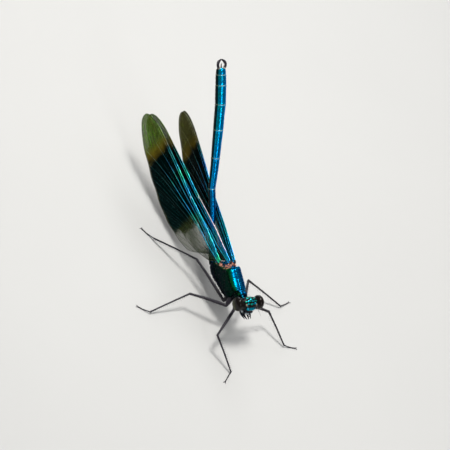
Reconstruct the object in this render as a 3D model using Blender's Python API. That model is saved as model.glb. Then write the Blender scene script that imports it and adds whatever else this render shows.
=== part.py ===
"""A banded demoiselle damselfly, life size, standing on its six feet with its abdomen raised.

The animal faces -Y, its own left is +X and up is +Z. The feet stand on z = 0.
"""
import math

import bmesh
import bpy
from mathutils import Matrix, Quaternion, Vector

MM = 0.001

# Driving sizes, in millimetres. Places are (ahead of the middle hips, to the left, above the floor).
PART_GAP = 0.08

HEAD_CENTRE = (2.65, -0.15, 8.2)
HEAD_PITCH = 18.0
EYE_SIDE = 2.13
EYE_RADII = (1.27, 0.92, 1.27)
HEAD_REACH = 1.85
HEAD_HALF_DEPTH = 1.12
HEAD_HALF_HEIGHT = 1.2

FACE_HALF_SPAN = 1.05
NECK_FRONT = 1.3
THORAX_FRONT = -0.38
THORAX_BACK = -8.6

ABDOMEN_START = (-8.75, 4.35)
SEGMENT_LENGTHS = (1.05, 1.35, 4.4, 6.55, 5.75, 5.1, 4.6, 3.35, 1.85, 1.15)
SEGMENT_PITCHES = (32.0, 35.0, 37.0, 42.5, 54.5, 52.5, 51.5, 45.0, 43.0, 43.0)
SEGMENT_RADII = (0.95, 0.88, 0.78, 0.58, 0.64, 0.78, 0.9, 0.96, 0.98, 0.93, 0.8)
SEGMENT_KEELS = (0.1, 0.35, 0.1, 0.0, 0.0, 0.0, 0.0, 0.0, 0.0, 0.0, 0.0)
CERCUS_LENGTH = 1.4
CERCUS_BOW = 0.55
CERCUS_RADIUS = 0.25

WING_THICKNESS = 0.5
WING_STATIONS = 22
FORE_WING_BASE = (-5.1, 0.45, 8.95)
FORE_WING_TIP = (-37.6, 3.14, 12.1)
HIND_WING_BASE = (-6.3, 1.27, 7.5)
HIND_WING_TIP = (-37.9, 3.86, 11.8)
WING_SPLAY = 5.0
FORE_HINGE = 1.3
HIND_HINGE = 1.7
HINGE_SHARE = 0.04
COSTA_RISE = 0.35
WING_DEPTH = 7.85
WING_EDGE = 0.2
WIDEST = 0.48
FULLNESS = 0.7
FORE_OPENING = 0.12
HIND_OPENING = 0.22
TIP_BLUNTNESS = 1.3
TIP_START = 0.84
TIP_DROP = 2.0

LIMB_RADIUS = 0.27
FEMUR_RADIUS = 0.3
COXA_RADIUS = 0.44
TARSUS_HEIGHT = 0.5
ANKLE_HEIGHT = 0.42
JOINT_ROOM = 0.34

# Hip, trochanter, knee, ankle and toe of each leg. Right is negative in the second number.
LEGS = {
    "fore_right": ((0.9, -0.5, 6.1), (1.8, -1.2, 5.1), (5.75, -5.73, 3.55), (11.57, -4.03), (13.3, -5.85)),
    "fore_left": ((0.9, 0.5, 6.1), (1.6, 1.25, 5.4), (1.91, 6.92, 3.74), (7.04, 9.41), (7.66, 11.61)),
    "mid_right": ((-0.6, -0.8, 5.5), (0.3, -1.8, 4.5), (-3.57, -7.21, 3.44), (-2.5, -14.59), (-4.0, -16.27)),
    "mid_left": ((-0.6, 0.8, 5.5), (0.3, 1.8, 4.5), (-5.28, 6.03, 3.47), (-1.3, 12.56), (-2.1, 14.8)),
    "hind_right": (
        (-1.5, -0.45, 4.7), (-1.3, -1.25, 3.75), (-10.33, -2.95, 4.06), (-18.02, -6.74), (-20.36, -7.93)),
    "hind_left": ((-1.5, 0.45, 4.7), (-1.3, 1.25, 3.75), (-9.2, 3.6, 5.0), (-15.2, 7.2), (-17.3, 8.4)),
}

BLUE = (0.01, 0.16, 0.42)
TEAL = (0.005, 0.16, 0.2)
LEG_BLACK = (0.02, 0.018, 0.03)
EYE_BROWN = (0.03, 0.022, 0.012)
WING_BLUE_BLACK = (0.01, 0.03, 0.04)
FACE_BLUE = (0.02, 0.3, 0.36)

# The bars of the face: place ahead of and above the head's middle, half depth and half height.
FACE_BARS = (
    ("clypeus", (1.22, 0.2), 0.44, 0.42, FACE_BLUE),
    ("labrum", (1.48, -0.66), 0.46, 0.36, LEG_BLACK),
    ("mouthparts", (0.86, -1.72), 0.66, 0.5, LEG_BLACK),
)


def clear_scene():
    for obj in list(bpy.data.objects):
        bpy.data.objects.remove(obj, do_unlink=True)


def point(ahead, left, up):
    """A place on the animal, in metres in the world."""
    return Vector((left, -ahead, up)) * MM


def make_material(name, colour, metallic, roughness):
    material = bpy.data.materials.new(name)
    material.use_nodes = True
    shader = material.node_tree.nodes["Principled BSDF"]
    shader.inputs["Base Color"].default_value = (*colour, 1.0)
    shader.inputs["Metallic"].default_value = metallic
    shader.inputs["Roughness"].default_value = roughness
    return material


def add_object(name, mesh, colour, metallic=0.0, roughness=0.4):
    mesh.materials.append(make_material(name, colour, metallic, roughness))
    mesh.shade_smooth()
    mesh.set_sharp_from_angle(angle=math.radians(50))
    obj = bpy.data.objects.new(name, mesh)
    bpy.context.collection.objects.link(obj)
    return obj


def loft(name, rings):
    """One closed body through rings of equal point counts, each end closed by a flat face."""
    bm = bmesh.new()
    loops = [[bm.verts.new(place) for place in ring] for ring in rings]
    count = len(loops[0])
    for near, far in zip(loops, loops[1:]):
        for i in range(count):
            j = (i + 1) % count
            bm.faces.new((near[i], near[j], far[j], far[i]))
    bm.faces.new(reversed(loops[0]))
    bm.faces.new(loops[-1])
    bmesh.ops.recalc_face_normals(bm, faces=bm.faces)
    mesh = bpy.data.meshes.new(name)
    bm.to_mesh(mesh)
    bm.free()
    return mesh


def ring(centre, across, upward, half_width, half_height, sides):
    """A closed loop round centre. It starts half a step from the side, so that its foot is a flat."""
    places = []
    for i in range(sides):
        angle = 2 * math.pi * (i + 0.5) / sides
        sideways = across * (half_width * math.cos(angle))
        places.append(centre + sideways + upward * (half_height * math.sin(angle)))
    return places


def frame_along(direction):
    """Two directions square to a run: level across it, and up from it."""
    across = direction.cross(Vector((0.0, 0.0, 1.0))).normalized()
    return across, across.cross(direction).normalized()


def tube(name, places, radii, sides=8):
    """A limb length through places in metres: blunt at the start, a round knuckle about its last place."""
    run = (places[-1] - places[0]).normalized()
    across, upward = frame_along(run)
    steps = [(places[0], radii[0] * 0.7)]
    steps.append((places[0] + run * radii[0] * 0.4, radii[0]))
    steps += list(zip(places[1:-1], radii[1:-1]))
    for turn in (0.0, 35.0, 65.0):
        reach = radii[-1] * math.sin(math.radians(turn))
        size = radii[-1] * math.cos(math.radians(turn))
        steps.append((places[-1] + run * reach, size))
    rings = [ring(place, across, upward, r, r, sides) for place, r in steps]
    return loft(name, rings)


def shell_along(name, stations, sides, grow=0.0):
    """A body length from stations of (ahead, middle height, half width, half height)."""
    across = Vector((1.0, 0.0, 0.0))
    upward = Vector((0.0, 0.0, 1.0))
    last = len(stations) - 1
    rings = []
    for i, (ahead, middle, half_width, half_height) in enumerate(stations):
        if i == 0:
            ahead += grow
        if i == last:
            ahead -= grow
        wide = (half_width + grow) * MM
        high = (half_height + grow) * MM
        rings.append(ring(point(ahead, 0, middle), across, upward, wide, high, sides))
    return loft(name, rings)


def ellipsoid(name, centre, radii, grow=0.0, columns=16, rows=10):
    bm = bmesh.new()
    bmesh.ops.create_uvsphere(bm, u_segments=columns, v_segments=rows, radius=MM)
    ahead, side, high = (r + grow for r in radii)
    bmesh.ops.scale(bm, vec=(side, ahead, high), verts=bm.verts)
    bmesh.ops.translate(bm, vec=centre, verts=bm.verts)
    mesh = bpy.data.meshes.new(name)
    bm.to_mesh(mesh)
    bm.free()
    return mesh


def add_cutter(name, mesh):
    cutter = bpy.data.objects.new(name, mesh)
    bpy.context.collection.objects.link(cutter)
    cutter.hide_render = True
    cutter.display_type = "WIRE"
    return cutter


def cut(obj, cutter):
    boolean = obj.modifiers.new(cutter.name, "BOOLEAN")
    boolean.operation = "DIFFERENCE"
    boolean.solver = "EXACT"
    boolean.object = cutter


def head_place(ahead, left, up):
    """A place on the head, measured from its centre before its nose is tipped down."""
    turn = math.radians(HEAD_PITCH)
    tipped_ahead = ahead * math.cos(turn) + up * math.sin(turn)
    tipped_up = up * math.cos(turn) - ahead * math.sin(turn)
    x, y, z = HEAD_CENTRE
    return point(x + tipped_ahead, y + left, z + tipped_up)


def head_bar(name, half_span, middle, half_depth, half_height, fullness=2, steps=8, sides=12):
    """A bar across the head, round in section, that narrows to both sides."""
    down = (head_place(0, 0, 0) - head_place(0, 0, 1)).normalized()
    ahead = (head_place(1, 0, 0) - head_place(0, 0, 0)).normalized()
    rings = []
    for i in range(steps + 1):
        side = math.cos(math.pi * (0.08 + 0.84 * i / steps))
        swell = math.sqrt(1 - 0.96 * side ** fullness)
        centre = head_place(middle[0], side * half_span, middle[1])
        rings.append(ring(centre, ahead, -down, half_depth * swell * MM, half_height * swell * MM, sides))
    return loft(name, rings)


def build_head():
    capsule = head_bar("head", HEAD_REACH, (0.0, 0.0), HEAD_HALF_DEPTH, HEAD_HALF_HEIGHT, 4, 10, 14)
    head = add_object("head", capsule, TEAL, 0.7, 0.3)
    for side, word in ((-1, "right"), (1, "left")):
        centre = head_place(0.05, side * EYE_SIDE, 0.05)
        add_object(f"eye_{word}", ellipsoid(f"eye_{word}", centre, EYE_RADII), EYE_BROWN, 0.0, 0.15)
        socket = ellipsoid(f"eye_socket_{word}", centre, EYE_RADII, PART_GAP)
        cut(head, add_cutter(f"eye_socket_{word}", socket))
    for name, place, depth, height, colour in FACE_BARS:
        add_object(name, head_bar(name, FACE_HALF_SPAN, place, depth, height), colour, 0.4, 0.3)
        grown = (FACE_HALF_SPAN + PART_GAP, place, depth + PART_GAP, height + PART_GAP)
        cut(head, add_cutter(f"{name}_seat", head_bar(f"{name}_seat", *grown)))


def build_antennae():
    for side, word in ((-1, "right"), (1, "left")):
        root = head_place(1.22, side * 0.72, 0.98)
        bend = head_place(2.0, side * 0.92, 1.2)
        tip = head_place(2.9, side * 1.15, 1.2)
        radius = LIMB_RADIUS * MM
        mesh = tube(f"antenna_{word}", [root, bend, tip], [radius] * 3)
        add_object(f"antenna_{word}", mesh, LEG_BLACK, 0.0, 0.4)


# Stations along the body: how far ahead, the middle's height, half the width and half the height.
PROTHORAX_STATIONS = [
    (NECK_FRONT, 7.35, 0.55, 0.5),
    (0.95, 7.15, 0.9, 0.85),
    (0.45, 6.9, 1.16, 1.2),
    (0.0, 6.75, 1.2, 1.3),
    (THORAX_FRONT + PART_GAP, 6.65, 1.1, 1.15),
]
THORAX_STATIONS = [
    (THORAX_FRONT, 6.55, 1.15, 1.2),
    (-0.65, 6.35, 1.5, 1.65),
    (-1.4, 6.2, 1.7, 2.05),
    (-2.6, 6.15, 1.8, 2.45),
    (-3.6, 6.25, 1.8, 2.7),
    (-4.45, 6.35, 1.78, 2.92),
    (-4.75, 6.15, 1.74, 2.78),
    (-5.15, 5.85, 1.7, 2.55),
    (-6.1, 5.45, 1.6, 2.3),
    (-7.3, 4.95, 1.44, 1.75),
    (-8.15, 4.72, 1.24, 1.3),
    (THORAX_BACK, 4.58, 1.02, 1.02),
]


def build_trunk():
    """The neck piece and the skewed wing-bearing box, with the seats cut into what grows from them."""
    seats = []
    for name, stations, sides in (("prothorax", PROTHORAX_STATIONS, 14), ("thorax", THORAX_STATIONS, 16)):
        add_object(name, shell_along(name, stations, sides), TEAL, 0.8, 0.3)
        seats.append(add_cutter(f"{name}_seat", shell_along(f"{name}_seat", stations, sides, PART_GAP)))
    return seats


def abdomen_joints():
    """The middle of every joint, from the base to the end of the tenth length."""
    ahead, up = ABDOMEN_START
    joints = [(ahead, up)]
    for length, pitch in zip(SEGMENT_LENGTHS, SEGMENT_PITCHES):
        turn = math.radians(pitch)
        ahead -= length * math.cos(turn)
        up += length * math.sin(turn)
        joints.append((ahead, up))
    return joints


def build_abdomen(seats):
    joints = abdomen_joints()
    tangents = []
    for i, pitch in enumerate(SEGMENT_PITCHES):
        before = SEGMENT_PITCHES[max(i - 1, 0)]
        tangents.append(math.radians((before + pitch) / 2))
    tangents.append(math.radians(SEGMENT_PITCHES[-1]))
    across = Vector((1.0, 0.0, 0.0))
    for i in range(len(SEGMENT_LENGTHS)):
        name = f"abdomen_{i + 1:02d}"
        rings = []
        for share in (0.0, 0.08, 0.5, 0.92, 1.0):
            turn = tangents[i] + (tangents[i + 1] - tangents[i]) * share
            run = Vector((0.0, math.cos(turn), math.sin(turn)))
            start = point(joints[i][0], 0, joints[i][1])
            end = point(joints[i + 1][0], 0, joints[i + 1][1])
            place = start.lerp(end, share)
            bow = (tangents[i] - tangents[i + 1]) * SEGMENT_LENGTHS[i] * MM * share * (1 - share) / 2
            upward = across.cross(run).normalized()
            place = place + upward * -bow
            radius = SEGMENT_RADII[i] + (SEGMENT_RADII[i + 1] - SEGMENT_RADII[i]) * share
            if share in (0.0, 1.0):
                place = place + run * (PART_GAP * MM / 2) * (1 if share == 0.0 else -1)
                radius *= 0.93
            keel = SEGMENT_KEELS[i] + (SEGMENT_KEELS[i + 1] - SEGMENT_KEELS[i]) * share
            place = place - upward * (keel / 2 * MM)
            rings.append(ring(place, across, upward, radius * MM, (radius + keel / 2) * MM, 12))
        length = add_object(name, loft(name, rings), BLUE, 0.85, 0.28)
        if i == 0:
            cut(length, seats[-1])
    return joints[-1]


def build_cerci(end):
    """The two upper claspers close on each other like the ends of a pair of tongs."""
    turn = math.radians(SEGMENT_PITCHES[-1])
    for side, word in ((-1, "right"), (1, "left")):
        places = []
        for i in range(6):
            share = i / 5
            reach = 0.2 + CERCUS_LENGTH * share
            out = 0.42 + CERCUS_BOW * math.sin(math.pi * share) ** 0.8 - 0.1 * share
            lift = 0.16
            ahead = end[0] - reach * math.cos(turn) + lift * math.sin(turn)
            up = end[1] + reach * math.sin(turn) + lift * math.cos(turn)
            places.append(point(ahead, side * out, up))
        mesh = bent_tube(f"cercus_{word}", places, [CERCUS_RADIUS * MM] * len(places), 6)
        add_object(f"cercus_{word}", mesh, LEG_BLACK, 0.2, 0.3)


def bent_tube(name, places, radii, sides):
    """A bent limb whose rings turn with its path."""
    rings = []
    for i, place in enumerate(places):
        run = (places[min(i + 1, len(places) - 1)] - places[max(i - 1, 0)]).normalized()
        across, upward = frame_along(run)
        rings.append(ring(place, across, upward, radii[i], radii[i], sides))
    return loft(name, rings)


def costa_height(share):
    """The leading edge above the line from root to tip: a shallow rise, then a round corner down."""
    rise = COSTA_RISE * math.sin(math.pi * share ** 0.8) ** 0.5
    if share < TIP_START:
        return rise
    corner = (share - TIP_START) / (1 - TIP_START)
    return rise - TIP_DROP * (1 - math.sqrt(1 - corner ** 2))


def margin_depth(share, opening):
    """The trailing edge below that line: it opens from the root to WIDEST, then rounds off to the tip."""
    if share < WIDEST:
        opened = min(share / opening, 1.0)
        opened = opened * opened * (3 - 2 * opened)
        return WING_DEPTH * opened * math.sin(math.pi / 2 * (share / WIDEST) ** FULLNESS)
    left = 1 - ((share - WIDEST) / (1 - WIDEST)) ** TIP_BLUNTNESS
    return TIP_DROP + (WING_DEPTH - TIP_DROP) * math.sqrt(left)


def build_wing(name, base, tip, hinge, opening, side, seat):
    start = point(base[0], side * base[1], base[2])
    end = point(tip[0], side * tip[1], tip[2])
    run = (end - start).normalized()
    length = (end - start).length
    level = Vector((0.0, 0.0, 1.0))
    chord = (level - run * level.dot(run)).normalized()
    chord.rotate(Quaternion(run, -side * math.radians(WING_SPLAY)))
    through = run.cross(chord) * (WING_THICKNESS * MM / 2)
    rings = []
    for i in range(WING_STATIONS + 1):
        share = 0.5 - 0.5 * math.cos(math.pi * (0.05 + 0.93 * i / WING_STATIONS))
        place = start + run * length * share
        top = place + chord * (costa_height(share) + WING_EDGE) * MM
        depth = max(margin_depth(share, opening), hinge * (1 - share / HINGE_SHARE))
        foot = place - chord * (depth + WING_EDGE) * MM
        rings.append([top - through, top + through, foot + through, foot - through])
    cut(add_object(name, loft(name, rings), WING_BLUE_BLACK, 0.2, 0.35), seat)


def build_wings(seat):
    """Each root runs down into the back, and is cut away where the back begins."""
    for side, word in ((-1, "right"), (1, "left")):
        build_wing(
            f"wing_fore_{word}", FORE_WING_BASE, FORE_WING_TIP, FORE_HINGE, FORE_OPENING, side, seat)
        build_wing(
            f"wing_hind_{word}", HIND_WING_BASE, HIND_WING_TIP, HIND_HINGE, HIND_OPENING, side, seat)


def build_tarsus(name, ankle, toe):
    """A foot lying on the floor, with a flat sole at z = 0 from heel to claw."""
    heel = point(ankle[0], ankle[1], 0)
    claw = point(toe[0], toe[1], 0)
    run = (claw - heel).normalized()
    heel = heel + run * JOINT_ROOM * MM
    across = run.cross(Vector((0.0, 0.0, 1.0)))
    rings = []
    for share, size in ((0.0, 0.7), (0.06, 1.0), (0.5, 0.96), (0.94, 0.96), (1.0, 0.7)):
        half = TARSUS_HEIGHT / 2 * size * MM
        place = heel.lerp(claw, share)
        foot = half * 0.55
        high = 2 * half
        rings.append([
            place - across * foot,
            place - across * half + Vector((0, 0, high * 0.35)),
            place - across * half * 0.8 + Vector((0, 0, high * 0.8)),
            place + Vector((0, 0, high)),
            place + across * half * 0.8 + Vector((0, 0, high * 0.8)),
            place + across * half + Vector((0, 0, high * 0.35)),
            place + across * foot,
        ])
    add_object(name, loft(name, rings), LEG_BLACK, 0.0, 0.4)


def build_leg(name, hip, trochanter, knee, ankle, toe, seats):
    hip = point(*hip)
    trochanter = point(*trochanter)
    knee = point(*knee)
    ankle_place = point(ankle[0], ankle[1], ANKLE_HEIGHT)
    room = JOINT_ROOM * MM
    coxa = [hip, hip.lerp(trochanter, 0.6), trochanter]
    sizes = [COXA_RADIUS * MM, COXA_RADIUS * 0.8 * MM, FEMUR_RADIUS * MM]
    coxa_piece = add_object(f"coxa_{name}", tube(f"coxa_{name}", coxa, sizes), LEG_BLACK, 0.0, 0.4)
    for seat in seats:
        cut(coxa_piece, seat)
    thigh_run = (knee - trochanter).normalized()
    thigh = [trochanter + thigh_run * room * 1.15, trochanter.lerp(knee, 0.5), knee]
    sizes = [FEMUR_RADIUS * MM, FEMUR_RADIUS * MM, LIMB_RADIUS * MM]
    add_object(f"femur_{name}", tube(f"femur_{name}", thigh, sizes), LEG_BLACK, 0.0, 0.4)
    shin_run = (ankle_place - knee).normalized()
    shin = [knee + shin_run * room, knee.lerp(ankle_place, 0.5), ankle_place]
    add_object(f"tibia_{name}", tube(f"tibia_{name}", shin, [LIMB_RADIUS * MM] * 3), LEG_BLACK, 0.0, 0.4)
    build_tarsus(f"tarsus_{name}", ankle, toe)


def centre_on_floor():
    """Move every piece so that the middle of the whole box, seen from above, is the origin."""
    bpy.context.view_layer.update()
    low = Vector((math.inf,) * 3)
    high = Vector((-math.inf,) * 3)
    for obj in bpy.data.objects:
        if obj.hide_render:
            continue
        for vert in obj.data.vertices:
            low = Vector(map(min, low, vert.co))
            high = Vector(map(max, high, vert.co))
    shift = Vector((-(low.x + high.x) / 2, -(low.y + high.y) / 2, 0.0))
    for obj in bpy.data.objects:
        obj.data.transform(Matrix.Translation(shift))


def main():
    clear_scene()
    build_head()
    build_antennae()
    seats = build_trunk()
    end = build_abdomen(seats)
    build_cerci(end)
    build_wings(seats[-1])
    for name, joints in LEGS.items():
        build_leg(name, *joints, seats)
    centre_on_floor()


main()
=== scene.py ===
import math

import bmesh
import bpy
import numpy as np
from mathutils import Matrix, Vector


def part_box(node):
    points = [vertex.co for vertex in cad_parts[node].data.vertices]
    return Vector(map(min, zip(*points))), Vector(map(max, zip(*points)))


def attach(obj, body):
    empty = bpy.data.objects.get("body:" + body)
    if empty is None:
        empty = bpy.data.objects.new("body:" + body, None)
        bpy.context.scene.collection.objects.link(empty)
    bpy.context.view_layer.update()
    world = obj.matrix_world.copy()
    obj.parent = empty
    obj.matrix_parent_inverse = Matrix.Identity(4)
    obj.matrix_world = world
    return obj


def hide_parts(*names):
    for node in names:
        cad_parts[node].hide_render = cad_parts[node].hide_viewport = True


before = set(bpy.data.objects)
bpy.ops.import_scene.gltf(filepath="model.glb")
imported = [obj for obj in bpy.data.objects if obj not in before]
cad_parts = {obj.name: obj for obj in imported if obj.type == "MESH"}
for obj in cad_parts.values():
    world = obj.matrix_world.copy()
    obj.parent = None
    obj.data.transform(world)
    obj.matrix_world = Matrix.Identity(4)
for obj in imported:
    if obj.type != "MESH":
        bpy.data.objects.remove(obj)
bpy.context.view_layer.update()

mm = 0.001
rng = np.random.default_rng(11)
bothSides = ((-1, "right"), (1, "left"))
capTurns = np.radians([80, 60, 38, 18])  # the rings that round off the end of a tube

# Places are in millimetres: ahead of the middle hips, to the animal's left, above the floor.
head = {
    "middle": (2.65, -0.15, 8.2),
    "pitch": 18.0,
    "halfSpan": 1.85,
    "halfDepth": 1.14,
    "halfHeight": 1.2,
    "rows": 150,
    "columns": 120,
    "box": 2.25,  # 2 is round in profile, more is squarer
    "eyeRows": 90,
    "eyeColumns": 128,
    "eye": (0.05, 2.18, 0.05),
    "eyeRadii": (1.27, 0.87, 1.27),
    # each metallic patch: ahead, to the side, length, width, how high it stands
    "patches": [
        (-0.80, 0.30, 0.15, 0.42, 0.06), (-0.42, 0.72, 0.15, 0.30, 0.06), (-0.28, 0.0, 0.17, 0.32, 0.07),
        (0.08, 0.38, 0.18, 0.36, 0.09), (0.10, 1.06, 0.14, 0.18, 0.06), (0.56, 0.0, 0.18, 0.40, 0.08),
        (0.56, 0.72, 0.16, 0.28, 0.08),
    ],
}


def unit(v):
    v = np.asarray(v, float)
    return v / np.maximum(np.linalg.norm(v, axis=-1, keepdims=True), 1e-12)


def headPlace(p):
    # from the head's own axes, nose level, to the body's
    p = np.asarray(p, float)
    turn = math.radians(head["pitch"])
    ahead = p[..., 0] * math.cos(turn) + p[..., 2] * math.sin(turn)
    up = p[..., 2] * math.cos(turn) - p[..., 0] * math.sin(turn)
    x, y, z = head["middle"]
    return np.stack([x + ahead, y + p[..., 1], z + up], -1)


def headWay(v):
    # the same turn for a direction
    return unit(headPlace(v) - headPlace(np.zeros(3)))


eyeBoxes = [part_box("eye_left"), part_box("eye_right")]
eyesMiddle = sum((low + high for low, high in eyeBoxes), Vector()) / 4 / mm
between = headPlace((head["eye"][0], 0.0, head["eye"][2]))
shift = (eyesMiddle.x - between[1], eyesMiddle.y + between[0])


def toWorld(p):
    p = np.asarray(p, float)
    return np.stack([p[..., 1] + shift[0], shift[1] - p[..., 0], p[..., 2]], -1) * mm


class Shape:
    # points and faces of one piece, with named numbers at the points
    def __init__(self):
        self.points, self.faces, self.marks, self.maps, self.count = [], [], [], [], 0

    def add(self, points, faces, patch=None, **marks):
        points = np.asarray(points, float).reshape(-1, 3)
        for block in faces:
            self.faces += (np.asarray(block) + self.count).tolist()
        for name, values in marks.items():
            values = np.broadcast_to(np.asarray(values, float).reshape(-1), len(points))
            self.marks.append((name, self.count, values))
        self.maps.append(np.zeros((len(points), 2)) if patch is None else patch)
        self.points.append(points)
        self.count += len(points)

    def build(self, name, material, slot, nodes=(), mapped=False):
        points = toWorld(np.concatenate(self.points))
        mesh = bpy.data.meshes.new(name)
        mesh.from_pydata(points.tolist(), [], self.faces)
        if not mapped:
            bm = bmesh.new()
            bm.from_mesh(mesh)
            bmesh.ops.recalc_face_normals(bm, faces=bm.faces)
            bm.to_mesh(mesh)
            bm.free()
        for mark in dict.fromkeys(m[0] for m in self.marks):
            values = np.zeros(self.count, np.float32)
            for other, start, part in self.marks:
                if other == mark:
                    values[start:start + len(part)] = part
            mesh.attributes.new(mark, "FLOAT", "POINT").data.foreach_set("value", values)
        if mapped:
            corners = np.zeros(len(mesh.loops), np.int32)
            mesh.loops.foreach_get("vertex_index", corners)
            spots = np.concatenate(self.maps)[corners]
            mesh.uv_layers.new(name="OFBake").data.foreach_set("uv", spots.astype(np.float32).ravel())
        mesh.shade_smooth()
        mesh.materials.append(material)
        piece = bpy.data.objects.new(name, mesh)
        bpy.context.collection.objects.link(piece)
        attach(piece, "root")
        if nodes:
            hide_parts(*nodes)
        return piece


def gridFaces(rows, columns):
    i, j = np.meshgrid(np.arange(rows - 1), np.arange(columns), indexing="ij")
    a = (i * columns + j).ravel()
    b = (i * columns + (j + 1) % columns).ravel()
    return np.stack([a, b, b + columns, a + columns], -1)


def fanFaces(start, count, hub):
    i = np.arange(count)
    return np.stack([start + i, start + (i + 1) % count, np.full(count, hub)], -1)


def addGrid(shape, grid, **marks):
    # a grid of closed rings, with its two ends drawn to a point
    rows, columns = grid.shape[:2]
    ends = np.array([grid[0].mean(0), grid[-1].mean(0)])
    points = np.concatenate([grid.reshape(-1, 3), ends])
    faces = [gridFaces(rows, columns), fanFaces(0, columns, rows * columns)]
    faces.append(fanFaces((rows - 1) * columns, columns, rows * columns + 1))
    full = {}
    for name, values in marks.items():
        values = np.asarray(values, float)
        if values.ndim == 2:
            values = np.concatenate([values.ravel(), [values[0].mean(), values[-1].mean()]])
        full[name] = values
    shape.add(points, faces, **full)


def curveThrough(points, count):
    p = np.asarray(points, float)
    last = len(p) - 1
    p = np.vstack([2 * p[0] - p[1], p, 2 * p[-1] - p[-2]])
    s = np.linspace(0, last - 1e-9, count)
    i = s.astype(int)
    t = (s - i)[:, None]
    a, b, c, d = p[i], p[i + 1], p[i + 2], p[i + 3]
    return 0.5 * (2 * b + (c - a) * t + (2 * a - 5 * b + 4 * c - d) * t**2 + (3 * b - a - 3 * c + d) * t**3)


def addTube(shape, path, radii, sides=12, reference=(0, 0, 1), flat=1.0, rounded=True, **marks):
    # flat below 1 narrows the tube level across its run
    path = np.asarray(path, float)
    radii = np.broadcast_to(np.asarray(radii, float), len(path)).copy()
    run = unit(np.gradient(path, axis=0))
    if rounded:
        rings = len(capTurns)
        startCap = [path[0] - run[0] * radii[0] * math.sin(a) for a in capTurns]
        endCap = [path[-1] + run[-1] * radii[-1] * math.sin(a) for a in capTurns[::-1]]
        path = np.vstack([startCap, path, endCap])
        run = np.vstack([[run[0]] * rings, run, [run[-1]] * rings])
        radii = np.concatenate([radii[0] * np.cos(capTurns), radii, radii[-1] * np.cos(capTurns[::-1])])
    across = unit(np.cross(run, reference))
    upward = np.cross(across, run)
    turn = 2 * np.pi * np.arange(sides) / sides
    grid = path[:, None] + radii[:, None, None] * (
        np.cos(turn)[None, :, None] * across[:, None] * flat + np.sin(turn)[None, :, None] * upward[:, None])
    addGrid(shape, grid, **marks)


def alongTube(values, sides, start=0.0):
    # numbers along a tube with rounded ends, the same all round it
    rings = np.concatenate([[start] * len(capTurns), values, [0] * len(capTurns)])
    return np.repeat(rings[:, None], sides, 1)


def ballGrid(rows, columns, reach):
    # a ball of radius 1 up to so many degrees towards its poles
    lift = np.linspace(-1, 1, rows)[:, None] * math.radians(reach)
    turn = 2 * np.pi * np.arange(columns) / columns
    parts = np.cos(lift) * np.cos(turn), np.cos(lift) * np.sin(turn), np.sin(lift)
    return np.stack(np.broadcast_arrays(*parts), -1)


def addBlob(shape, centre, radii, rows=20, columns=28, axes=None, **marks):
    # an ellipsoid; axes holds its three directions as rows
    axes = np.eye(3) if axes is None else np.asarray(axes, float)
    addGrid(shape, np.asarray(centre) + (ballGrid(rows, columns, 86) * np.asarray(radii)) @ axes, **marks)


def addHairs(shape, roots, ways, lengths, radius, patches=None):
    # solid bristles of three sides that come to a point; patches places each one in the picture map
    roots, ways = np.asarray(roots, float), unit(ways)
    count = len(roots)
    lengths = np.broadcast_to(lengths, count)[:, None]
    side = unit(np.cross(ways, unit(rng.normal(size=(count, 3)))))
    other = np.cross(ways, side)
    rings = []
    for share, size in ((0.0, 1.0), (0.5, 0.72)):
        for k in range(3):
            a = 2 * math.pi * k / 3
            out = side * math.cos(a) + other * math.sin(a)
            rings.append(roots + ways * lengths * share + out * radius * size)
    rings.append(roots + ways * lengths)
    base = (np.arange(count) * 7)[:, None]
    quads = np.concatenate([base + [k, (k + 1) % 3, 3 + (k + 1) % 3, 3 + k] for k in range(3)])
    tips = np.concatenate([base + [3 + k, 3 + (k + 1) % 3, 6] for k in range(3)])
    spots = None
    if patches is not None:
        spread = np.array([(0, 0), (1, 0), (0, 1), (0.3, 0.3), (1, 0.3), (0.3, 1), (1, 1)]) * 0.003
        spots = (np.asarray(patches)[:, None] * 0.99 + spread).reshape(-1, 2)
    shape.add(np.stack(rings, 1), [quads, tips, base + [2, 1, 0]], patch=spots)


def bump(x, width):
    return np.exp(-(np.asarray(x) / width) ** 2)


def smoothStep(x, low, high):
    t = np.clip((np.asarray(x) - low) / (high - low), 0, 1)
    return t * t * (3 - 2 * t)


def boxed(value, box):
    # rounds a sine or a cosine out towards a box; 2 leaves a circle
    return np.sign(value) * np.abs(value) ** (2 / box)


def acrossShares(rows, degrees, reach):
    # shares from the right side to the left, closer together at both ends
    return np.sin(np.linspace(-1, 1, rows) * math.radians(degrees)) / math.sin(math.radians(degrees)) * reach


def pathDistance(points, line):
    # how far each point lies from a line of straight lengths, in the plane
    best = np.full(points.shape[:-1], 1e9)
    for a, b in zip(line, line[1:]):
        a, b = np.array(a, float), np.array(b, float)
        t = np.clip(((points - a) @ (b - a)) / ((b - a) @ (b - a)), 0, 1)
        best = np.minimum(best, np.linalg.norm(points - a - t[..., None] * (b - a), axis=-1))
    return best


def gridNormals(grid):
    # outward directions of a grid of rings
    along = np.gradient(grid, axis=0)
    around = np.roll(grid, -1, 1) - np.roll(grid, 1, 1)
    normal = unit(np.cross(around, along))
    return normal * np.sign(np.sum(normal * (grid - grid.mean(1, keepdims=True)), -1).mean())


def lengthsAlong(path):
    return np.concatenate([[0], np.cumsum(np.linalg.norm(np.diff(path, axis=0), axis=1))])


def valuesAt(way, values, at):
    return np.stack([np.interp(at, way, values[:, k]) for k in range(3)], -1)


# Materials


def addNode(tree, kind, inputs=None, **settings):
    node = tree.nodes.new(kind)
    for key, value in settings.items():
        setattr(node, key, value)
    for key, value in (inputs or {}).items():
        if isinstance(value, bpy.types.NodeSocket):
            tree.links.new(value, node.inputs[key])
        else:
            node.inputs[key].default_value = value
    return node


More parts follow.
